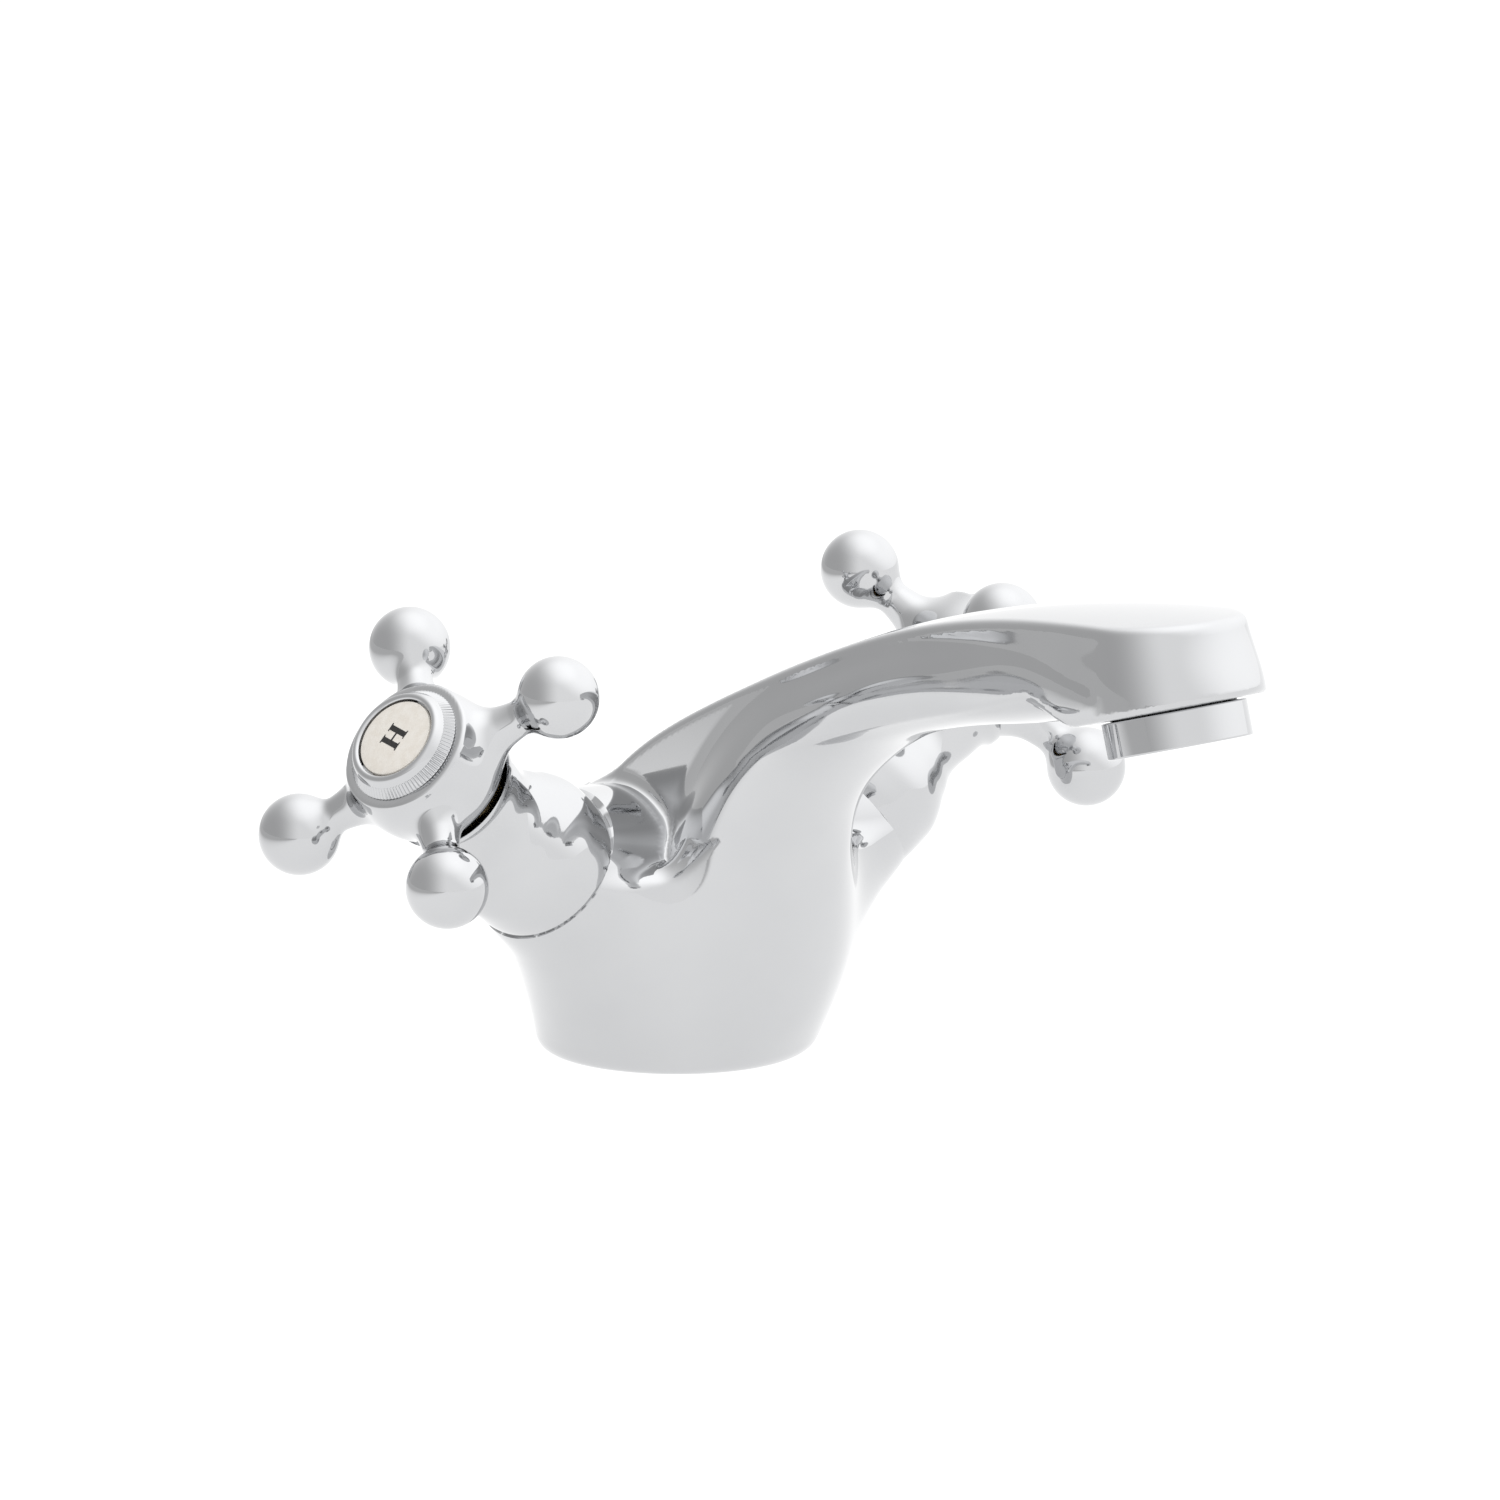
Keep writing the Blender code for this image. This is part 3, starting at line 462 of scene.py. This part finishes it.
def settle(field, points):
    """Move points along the slope onto the field's surface."""
    for _ in range(2):
        slope = slope_of(field, points)
        points = points - slope * (field(points) / (slope**2).sum(axis=1))[:, None]
    return points


def new_object(name, points, faces):
    mesh = bpy.data.meshes.new(name)
    mesh.from_pydata([tuple(point) for point in points], [], [tuple(face) for face in faces])
    obj = bpy.data.objects.new(name, mesh)
    bpy.context.scene.collection.objects.link(obj)
    return obj


def field_object(name, field, low, high, step):
    """Skin a distance field with even quads whose points lie on its surface. In millimetres."""
    points, quads = surface_net(sample_field(field, low, high, step))
    points = settle(field, np.array(low) + step * points)
    points = settle(field, relax(points, quads))
    return new_object(name, points.tolist(), quads.tolist())


def apply_modifiers(obj):
    depsgraph = bpy.context.evaluated_depsgraph_get()
    mesh = bpy.data.meshes.new_from_object(obj.evaluated_get(depsgraph))
    obj.modifiers.clear()
    old, obj.data = obj.data, mesh
    bpy.data.meshes.remove(old)


def cut(obj, tools):
    """Take tools away from an object and drop them."""
    for tool in tools:
        modifier = obj.modifiers.new("cut_" + tool.name, "BOOLEAN")
        modifier.operation = "DIFFERENCE"
        modifier.solver = "MANIFOLD"
        modifier.object = tool
    apply_modifiers(obj)
    for tool in tools:
        bpy.data.objects.remove(tool, do_unlink=True)


def shade_field(obj, field):
    """Give every corner that lies on the field's surface the field's own normal."""
    mesh = obj.data
    mesh.shade_smooth()
    mesh.set_sharp_from_angle(angle=SHARP_ANGLE)
    normals = np.empty(len(mesh.loops) * 3)
    mesh.corner_normals.foreach_get("vector", normals)
    normals = normals.reshape(-1, 3)
    places = np.empty(len(mesh.vertices) * 3)
    mesh.vertices.foreach_get("co", places)
    places = places.reshape(-1, 3)
    slope = slope_of(field, places)
    slope /= np.linalg.norm(slope, axis=1)[:, None]
    corner_points = np.empty(len(mesh.loops), int)
    mesh.loops.foreach_get("vertex_index", corner_points)
    face_normals = np.empty(len(mesh.polygons) * 3)
    mesh.polygons.foreach_get("normal", face_normals)
    sizes = np.empty(len(mesh.polygons), int)
    mesh.polygons.foreach_get("loop_total", sizes)
    face_normals = face_normals.reshape(-1, 3).repeat(sizes, axis=0)
    on_surface = (np.abs(field(places)) < ON_SURFACE)[corner_points]
    agrees = (face_normals * slope[corner_points]).sum(axis=1) > SAME_WAY
    chosen = on_surface & agrees
    normals[chosen] = slope[corner_points][chosen]
    mesh.normals_split_custom_set(normals.tolist())


def rounded(outline, size, closed):
    """Replace each corner of an outline with a small arc."""
    result = []
    count = len(outline)
    for i, here in enumerate(outline):
        if not closed and i in (0, count - 1):
            result.append(here)
            continue
        here = Vector(here)
        before, after = Vector(outline[i - 1]) - here, Vector(outline[(i + 1) % count]) - here
        reach = min(size, CORNER_SHARE * before.length, CORNER_SHARE * after.length)
        start, end = here + before.normalized() * reach, here + after.normalized() * reach
        for j in range(CORNER_STEPS + 1):
            t = j / CORNER_STEPS
            result.append(tuple(start * (1 - t)**2 + here * 2 * t * (1 - t) + end * t**2))
    return result


def turned(name, outline, place, steps=TURNED_STEPS, teeth=None):
    """Turn (radius, height) points about local Z. The outline is a ring unless it starts at radius zero.

    The outside is knurled between the two heights in teeth.
    """
    closed = outline[0][0] > 0.0
    points, rows = [], []
    for radius, height in outline:
        if radius < NEAR_ZERO:
            rows.append([len(points)] * steps)
            points.append((0.0, 0.0, height))
            continue
        rows.append(list(range(len(points), len(points) + steps)))
        for i in range(steps):
            turn = 2 * math.pi * i / steps
            reach = radius
            if teeth and radius > TOOTH_FOOT and teeth[0] < height < teeth[1]:
                reach -= TOOTH_DEPTH * (0.5 - 0.5 * math.cos(RING_TEETH * turn))
            points.append((reach * math.cos(turn), reach * math.sin(turn), height))
    pairs = list(zip(rows, rows[1:] + rows[:1])) if closed else list(zip(rows, rows[1:]))
    faces = []
    for upper, lower in pairs:
        for i in range(steps):
            j = (i + 1) % steps
            corners = (upper[i], lower[i], lower[j], upper[j])
            faces.append(tuple(dict.fromkeys(corners)))
    obj = new_object(name, points, faces)
    if not teeth:
        shade_rows(obj.data, outline, steps, closed)
    obj.data.transform(place)
    return obj


def row_normals(outline, closed):
    """For each stretch of an outline, its normals at both ends, shared with a neighbour that bends little."""
    count = len(outline)
    total = count if closed else count - 1
    stretches = [Vector(outline[(i + 1) % count]) - Vector(outline[i]) for i in range(total)]
    normals = [Vector((-run.y, run.x)).normalized() for run in stretches]
    ends = []
    for i in range(total):
        pair = []
        for near in (i - 1, i + 1):
            inside = closed or 0 <= near < total
            near %= total
            if inside and normals[i].dot(normals[near]) > SHARP_CORNER:
                own, other = stretches[i].length_squared, stretches[near].length_squared
                pair.append((normals[i] * own + normals[near] * other).normalized())
            else:
                pair.append(normals[i])
        ends.append(pair)
    return ends


def shade_rows(mesh, outline, steps, closed):
    """Set the exact normals of a turned surface."""
    ends = row_normals(outline, closed)
    mesh.shade_smooth()
    normals = []
    for polygon in mesh.polygons:
        stretch = polygon.index // steps
        upper, lower = ends[stretch]
        height_a, radius_a = outline[stretch][1], outline[stretch][0]
        turn = 2 * math.pi * ((polygon.index % steps) + 0.5) / steps
        middle = Vector((math.cos(turn), math.sin(turn)))
        for corner in polygon.vertices:
            place = mesh.vertices[corner].co
            radius = math.hypot(place.x, place.y)
            at_upper = abs(place.z - height_a) + abs(radius - radius_a) < SAME_PLACE
            lean = upper if at_upper else lower
            around = Vector((place.x, place.y)) / radius if radius > NEAR_ZERO else middle
            normals.append((around.x * lean.x, around.y * lean.x, lean.y))
    mesh.normals_split_custom_set(normals)


def smooth_outline(points, count):
    return [tuple(row) for row in spline(np.array(points, float), count)]


def shade_by_angle(obj):
    obj.data.shade_smooth()
    obj.data.set_sharp_from_angle(angle=SHARP_ANGLE)


def finish_piece(obj, body, nodes, material):
    obj.data.transform(Matrix.Scale(MM, 4))
    obj.data.materials.clear()
    obj.data.materials.append(material)
    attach(obj, body)
    if nodes:
        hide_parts(*nodes)


def drill(name, centre, radius, top, bottom):
    tool = turned(name, [(0, top), (radius, top), (radius, bottom), (0, bottom)], Matrix(), SOCKET_STEPS)
    tool.data.transform(Matrix.Translation((centre[0], centre[1], 0.0)))
    return tool


def casting():
    """The casting's mesh: the outside from its field, with the machined features cut in."""
    obj = field_object("casting", body_field, *BODY_BOX, BODY_STEP)
    tools = []
    for label, side in SIDES.items():
        tools.append(turned(label + "_bore", VALVE_BORE, valve_frame(side), CUTTER_STEPS))
    tools.append(turned("cavity", AERATOR_CAVITY, nose_frame(), CUTTER_STEPS))
    tools.append(turned("deck_plane", DECK_CUT, Matrix(), CUTTER_STEPS))
    tools.append(turned("groove", GASKET_GROOVE, Matrix(), GROOVE_STEPS))
    for i, (x, y, radius) in enumerate(SOCKETS):
        tools.append(drill("socket_%d" % i, (x, y), radius, SOCKET_DEPTH, SOCKET_MOUTH))
    cut(obj, tools)
    shade_field(obj, body_field)
    return obj


def handle_casting():
    """The cross handle's mesh in its valve's frame."""
    obj = field_object("handle_shape", handle_field, *HANDLE_BOX, HANDLE_STEP)
    cut(obj, [turned("recess", HUB_RECESS, Matrix(), CUTTER_STEPS)])
    shade_field(obj, handle_field)
    return obj


def placed_copy(obj, name, place):
    """Copy an object's mesh to another place together with its custom normals."""
    mesh = obj.data.copy()
    normals = np.empty(len(mesh.loops) * 3)
    mesh.corner_normals.foreach_get("vector", normals)
    turn = np.array(place.to_3x3())
    mesh.transform(place)
    mesh.normals_split_custom_set((normals.reshape(-1, 3) @ turn.T).tolist())
    copy = bpy.data.objects.new(name, mesh)
    bpy.context.scene.collection.objects.link(copy)
    return copy


def shroud(label, place):
    waist = smooth_outline(SHROUD_WAIST, WAIST_COUNT)
    outline = SHROUD_LIP + waist + rounded(SHROUD_INSIDE, SHROUD_INNER_ROUND, False)
    return turned(label + "_shroud_shell", outline, place)


def index_bezel(label, place):
    top = smooth_outline(RING_TOP[1:] + RING_WALL[:1], RING_TOP_COUNT)
    outline = RING_TOP[:1] + top + RING_WALL[1:] + RING_SPIGOT
    return turned(label + "_index_bezel", outline, place, RING_TEETH * STEPS_PER_TOOTH, TOOTH_HEIGHTS)


def index_face(label, place):
    return turned(label + "_index_face", DISC_OUTLINE, place, CUTTER_STEPS)


def letter_outline(letter):
    """A plain serif capital H or C."""
    if letter == "H":
        right = H_QUARTER + [(x, -y) for x, y in H_QUARTER[-2::-1]]
        left = [(-x, -y) for x, y in right[1:-1]]
        return right + left
    outer, inner = [], []
    for i in range(C_STEPS + 1):
        turn = C_START + C_SWEEP * i / C_STEPS
        outer.append((C_OUTER[0] * math.cos(turn), C_OUTER[1] * math.sin(turn)))
        inner.append((C_INNER_SHIFT + C_INNER[0] * math.cos(turn), C_INNER[1] * math.sin(turn)))
    return [C_TOP] + outer + [C_BOTTOM, C_BOTTOM_NOTCH] + inner[::-1] + [C_TOP_NOTCH]


def index_letter(label, letter, place):
    """A raised letter whose foot is sunk into the disc."""
    bm = bmesh.new()
    outline = [(x * LETTER_HEIGHT, y * LETTER_HEIGHT, LETTER_FOOT) for x, y in letter_outline(letter)]
    face = bm.faces.new([bm.verts.new(point) for point in outline])
    extruded = bmesh.ops.extrude_face_region(bm, geom=[face])["geom"]
    moved = [item for item in extruded if isinstance(item, bmesh.types.BMVert)]
    bmesh.ops.translate(bm, vec=(0.0, 0.0, LETTER_TOP - LETTER_FOOT), verts=moved)
    bmesh.ops.recalc_face_normals(bm, faces=bm.faces)
    bmesh.ops.transform(bm, matrix=place, verts=bm.verts)
    mesh = bpy.data.meshes.new(label + "_index_letter")
    bm.to_mesh(mesh)
    bm.free()
    obj = bpy.data.objects.new(label + "_index_letter", mesh)
    bpy.context.scene.collection.objects.link(obj)
    return obj


def aerator_insert():
    """The stream former with one jet in the middle and a circle of jets around it."""
    place = nose_frame()
    obj = turned("aerator_former", rounded(INSERT_OUTLINE, INSERT_ROUND, False), place, CUTTER_STEPS)
    jets = [(0.0, 0.0)]
    for i in range(OUTER_JETS):
        turn = math.tau / OUTER_JETS * i
        jets.append((JET_CIRCLE * math.cos(turn), JET_CIRCLE * math.sin(turn)))
    tools = []
    for i, (x, y) in enumerate(jets):
        tool = turned("jet_%d" % i, JET_OUTLINE, Matrix(), JET_STEPS)
        tool.data.transform(place @ Matrix.Translation((x, y, 0.0)))
        tools.append(tool)
    cut(obj, tools)
    return obj


class Nodes:
    """A material's node tree with its main shader, and short calls that add nodes."""

    def __init__(self, name, colour, metallic, roughness):
        self.material = bpy.data.materials.new(name)
        self.material.use_nodes = True
        self.tree = self.material.node_tree
        self.shader = self.tree.nodes["Principled BSDF"]
        self.shader.inputs["Base Color"].default_value = (*colour, 1.0)
        self.shader.inputs["Metallic"].default_value = metallic
        self.shader.inputs["Roughness"].default_value = roughness
        self.place = self.tree.nodes.new("ShaderNodeTexCoord").outputs["Object"]

    def noise(self, scale, detail=3.0, stretch=None):
        """Noise with about scale features to a metre."""
        place = self.place
        if stretch:
            mapping = self.tree.nodes.new("ShaderNodeMapping")
            mapping.inputs["Scale"].default_value = stretch
            self.tree.links.new(place, mapping.inputs["Vector"])
            place = mapping.outputs["Vector"]
        node = self.tree.nodes.new("ShaderNodeTexNoise")
        node.inputs["Scale"].default_value = scale
        node.inputs["Detail"].default_value = detail
        self.tree.links.new(place, node.inputs["Vector"])
        return node.outputs["Fac"]

    def roughness(self, pattern, low, high):
        node = self.tree.nodes.new("ShaderNodeMapRange")
        node.inputs["From Min"].default_value = NOISE_LOW
        node.inputs["From Max"].default_value = NOISE_HIGH
        node.inputs["To Min"].default_value = low
        node.inputs["To Max"].default_value = high
        self.tree.links.new(pattern, node.inputs["Value"])
        self.tree.links.new(node.outputs["Result"], self.shader.inputs["Roughness"])

    def colours(self, pattern, low, high):
        node = self.tree.nodes.new("ShaderNodeValToRGB")
        node.color_ramp.elements[0].position = NOISE_LOW
        node.color_ramp.elements[0].color = (*low, 1.0)
        node.color_ramp.elements[1].position = NOISE_HIGH
        node.color_ramp.elements[1].color = (*high, 1.0)
        self.tree.links.new(pattern, node.inputs["Fac"])
        self.tree.links.new(node.outputs["Color"], self.shader.inputs["Base Color"])

    def bump(self, pattern, height):
        """Relief whose full height is given in metres. Several calls stack up."""
        node = self.tree.nodes.new("ShaderNodeBump")
        node.inputs["Distance"].default_value = height
        node.inputs["Strength"].default_value = 1.0
        self.tree.links.new(pattern, node.inputs["Height"])
        socket = self.shader.inputs["Normal"]
        if socket.links:
            self.tree.links.new(socket.links[0].from_socket, node.inputs["Normal"])
        self.tree.links.new(node.outputs["Normal"], socket)


def chrome():
    look = Nodes("chrome_plate", (0.555, 0.56, 0.57), 1.0, 0.04)
    look.colours(look.noise(35.0), (0.542, 0.547, 0.557), (0.566, 0.571, 0.580))
    look.roughness(look.noise(160.0, 5.0), 0.025, 0.075)
    look.bump(look.noise(60.0, 1.0), 0.000012)
    look.bump(look.noise(2600.0, 2.0), 0.0000006)
    return look.material


def brass():
    look = Nodes("machined_brass", (0.72, 0.55, 0.26), 1.0, 0.28)
    look.colours(look.noise(120.0), (0.62, 0.46, 0.20), (0.78, 0.60, 0.30))
    look.roughness(look.noise(500.0), 0.22, 0.40)
    look.bump(look.noise(1800.0, 2.0), 0.00001)
    return look.material


def steel():
    look = Nodes("stainless_steel", (0.60, 0.60, 0.61), 1.0, 0.25)
    look.colours(look.noise(200.0), (0.54, 0.54, 0.55), (0.64, 0.64, 0.65))
    look.roughness(look.noise(900.0, 3.0, (1.0, 8.0, 1.0)), 0.18, 0.34)
    look.bump(look.noise(2500.0, 2.0, (1.0, 8.0, 1.0)), 0.000006)
    return look.material


def rubber():
    look = Nodes("nitrile_rubber", (0.02, 0.02, 0.02), 0.0, 0.75)
    look.colours(look.noise(150.0), (0.014, 0.014, 0.015), (0.032, 0.032, 0.033))
    look.roughness(look.noise(400.0), 0.62, 0.85)
    look.bump(look.noise(3000.0, 3.0), 0.00002)
    return look.material


def valve_ceramic():
    look = Nodes("alumina", (0.86, 0.86, 0.84), 0.0, 0.20)
    look.colours(look.noise(600.0, 5.0), (0.82, 0.82, 0.80), (0.89, 0.89, 0.87))
    look.roughness(look.noise(900.0), 0.14, 0.26)
    look.bump(look.noise(4000.0), 0.000002)
    return look.material


def index_ceramic():
    look = Nodes("ivory_glaze", (0.77, 0.73, 0.66), 0.0, 0.22)
    look.shader.inputs["Coat Weight"].default_value = 0.6
    look.shader.inputs["Coat Roughness"].default_value = 0.06
    look.colours(look.noise(700.0, 4.0), (0.755, 0.71, 0.645), (0.80, 0.765, 0.71))
    look.roughness(look.noise(1500.0), 0.16, 0.30)
    look.bump(look.noise(900.0, 2.0), 0.000004)
    return look.material


def acetal():
    look = Nodes("natural_acetal", (0.80, 0.80, 0.78), 0.0, 0.45)
    look.colours(look.noise(300.0), (0.76, 0.76, 0.73), (0.83, 0.83, 0.81))
    look.roughness(look.noise(800.0), 0.36, 0.55)
    look.bump(look.noise(2500.0), 0.000006)
    return look.material


def ink():
    look = Nodes("fired_enamel", (0.012, 0.012, 0.012), 0.0, 0.3)
    look.colours(look.noise(1500.0), (0.008, 0.008, 0.008), (0.022, 0.020, 0.020))
    look.roughness(look.noise(2500.0), 0.25, 0.45)
    look.bump(look.noise(5000.0), 0.000002)
    return look.material


def floor():
    """A pale floor that mostly shines by itself, with painted shade where its glow dims towards the back
    left, and still takes a soft contact shadow.
    """
    corners = [(x * FLOOR_HALF, y * FLOOR_HALF, 0.0) for x, y in ((-1, -1), (1, -1), (1, 1), (-1, 1))]
    obj = new_object("studio_floor", corners, [(0, 1, 2, 3)])
    look = Nodes("floor_paper", (0.16, 0.16, 0.16), 0.0, 0.9)
    look.shader.inputs["Specular IOR Level"].default_value = 0.0
    look.shader.inputs["Emission Color"].default_value = (1.0, 1.0, 1.0, 1.0)
    # Painted shade: the floor's own glow dims towards the back left.
    along = look.tree.nodes.new("ShaderNodeVectorMath")
    along.operation = "DOT_PRODUCT"
    along.inputs[1].default_value = FLOOR_DIM_SIDE
    look.tree.links.new(look.place, along.inputs[0])
    fade = look.tree.nodes.new("ShaderNodeMapRange")
    fade.interpolation_type = "SMOOTHSTEP"
    fade.inputs["From Min"].default_value = FLOOR_DIM_START
    fade.inputs["From Max"].default_value = FLOOR_DIM_END
    fade.inputs["To Min"].default_value = FLOOR_LIGHT
    fade.inputs["To Max"].default_value = FLOOR_DIM
    look.tree.links.new(along.outputs["Value"], fade.inputs["Value"])
    look.tree.links.new(fade.outputs["Result"], look.shader.inputs["Emission Strength"])
    obj.data.materials.append(look.material)


def lobe(tree, direction, azimuth, elevation, inner, outer, amount):
    """Light added around one direction, fading between two angles. A negative amount takes light away."""
    flat = math.cos(math.radians(elevation))
    turn = math.radians(azimuth)
    aim = (math.sin(turn) * flat, -math.cos(turn) * flat, math.sin(math.radians(elevation)))
    dot = tree.nodes.new("ShaderNodeVectorMath")
    dot.operation = "DOT_PRODUCT"
    dot.inputs[1].default_value = aim
    tree.links.new(direction, dot.inputs[0])
    fade = tree.nodes.new("ShaderNodeMapRange")
    fade.interpolation_type = "SMOOTHSTEP"
    fade.inputs["From Min"].default_value = math.cos(math.radians(outer))
    fade.inputs["From Max"].default_value = math.cos(math.radians(inner))
    fade.inputs["To Min"].default_value = 0.0
    fade.inputs["To Max"].default_value = amount
    tree.links.new(dot.outputs["Value"], fade.inputs["Value"])
    return fade.outputs["Result"]


def studio_light():
    """A white tent, brighter on the right and overhead, dimmer behind on the left."""
    world = bpy.data.worlds.new("studio")
    bpy.context.scene.world = world
    world.use_nodes = True
    tree = world.node_tree
    background = tree.nodes["Background"]
    background.inputs["Color"].default_value = (1.0, 1.0, 1.0, 1.0)
    direction = tree.nodes.new("ShaderNodeTexCoord").outputs["Generated"]
    total = None
    for row in TENT_LIGHTS:
        node = tree.nodes.new("ShaderNodeMath")
        node.operation = "ADD"
        tree.links.new(lobe(tree, direction, *row), node.inputs[0])
        if total is None:
            node.inputs[1].default_value = TENT_LIGHT
        else:
            tree.links.new(total, node.inputs[1])
        total = node.outputs["Value"]
    tree.links.new(total, background.inputs["Strength"])


def camera():
    data = bpy.data.cameras.new("camera")
    data.lens = CAMERA_LENS
    data.sensor_width = CAMERA_SENSOR
    data.clip_start = CAMERA_NEAR
    data.clip_end = CAMERA_FAR
    obj = bpy.data.objects.new("camera", data)
    obj.location = CAMERA_PLACE
    obj.rotation_euler = Vector(CAMERA_LOOK).to_track_quat("-Z", "Y").to_euler()
    bpy.context.scene.collection.objects.link(obj)
    bpy.context.scene.camera = obj


def dress_nodes(frame, looks):
    """Give every CAD node the procedural material of its slot."""
    for part in frame["record"]["subparts"]:
        mesh = frame["nodes"][part["node"]].data
        mesh.materials.clear()
        mesh.materials.append(looks[part["material_slot"]])


def handle_pieces(label, side, shape, looks):
    """Everything that turns with one handle: casting, bezel, disc and letter."""
    place = valve_frame(side, HANDLE_REST[label])
    body = label + "_handle"
    handle = placed_copy(shape, label + "_handle_casting", place)
    finish_piece(handle, body, [label + "_cross_handle"], looks["chrome"])
    bezel = index_bezel(label, place)
    shade_by_angle(bezel)
    finish_piece(bezel, body, [label + "_index_ring"], looks["chrome"])
    face = index_face(label, place)
    finish_piece(face, body, [label + "_index_disc"], looks["index_ceramic"])
    letter = index_letter(label, label[0].upper(), valve_frame(side, LETTER_TURN[label]))
    finish_piece(letter, body, [], looks["ink"])


def main():
    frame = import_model()
    bpy.context.scene.view_settings.view_transform = "Standard"
    looks = {
        "chrome": chrome(), "brass": brass(), "steel": steel(), "rubber": rubber(),
        "valve_ceramic": valve_ceramic(), "index_ceramic": index_ceramic(), "acetal": acetal(), "ink": ink(),
    }
    camera()
    floor()
    studio_light()
    dress_nodes(frame, looks)
    finish_piece(casting(), "faucet_body", ["body_casting"], looks["chrome"])
    shape = handle_casting()
    for label, side in SIDES.items():
        shell = shroud(label, valve_frame(side))
        finish_piece(shell, "faucet_body", [label + "_shroud"], looks["chrome"])
        handle_pieces(label, side, shape, looks)
    bpy.data.objects.remove(shape, do_unlink=True)
    collar = turned("aerator_collar", rounded(COLLAR_OUTLINE, COLLAR_ROUND, True), nose_frame())
    finish_piece(collar, "faucet_body", ["aerator_housing"], looks["chrome"])
    former = aerator_insert()
    shade_by_angle(former)
    finish_piece(former, "faucet_body", ["aerator_insert"], looks["acetal"])


main()
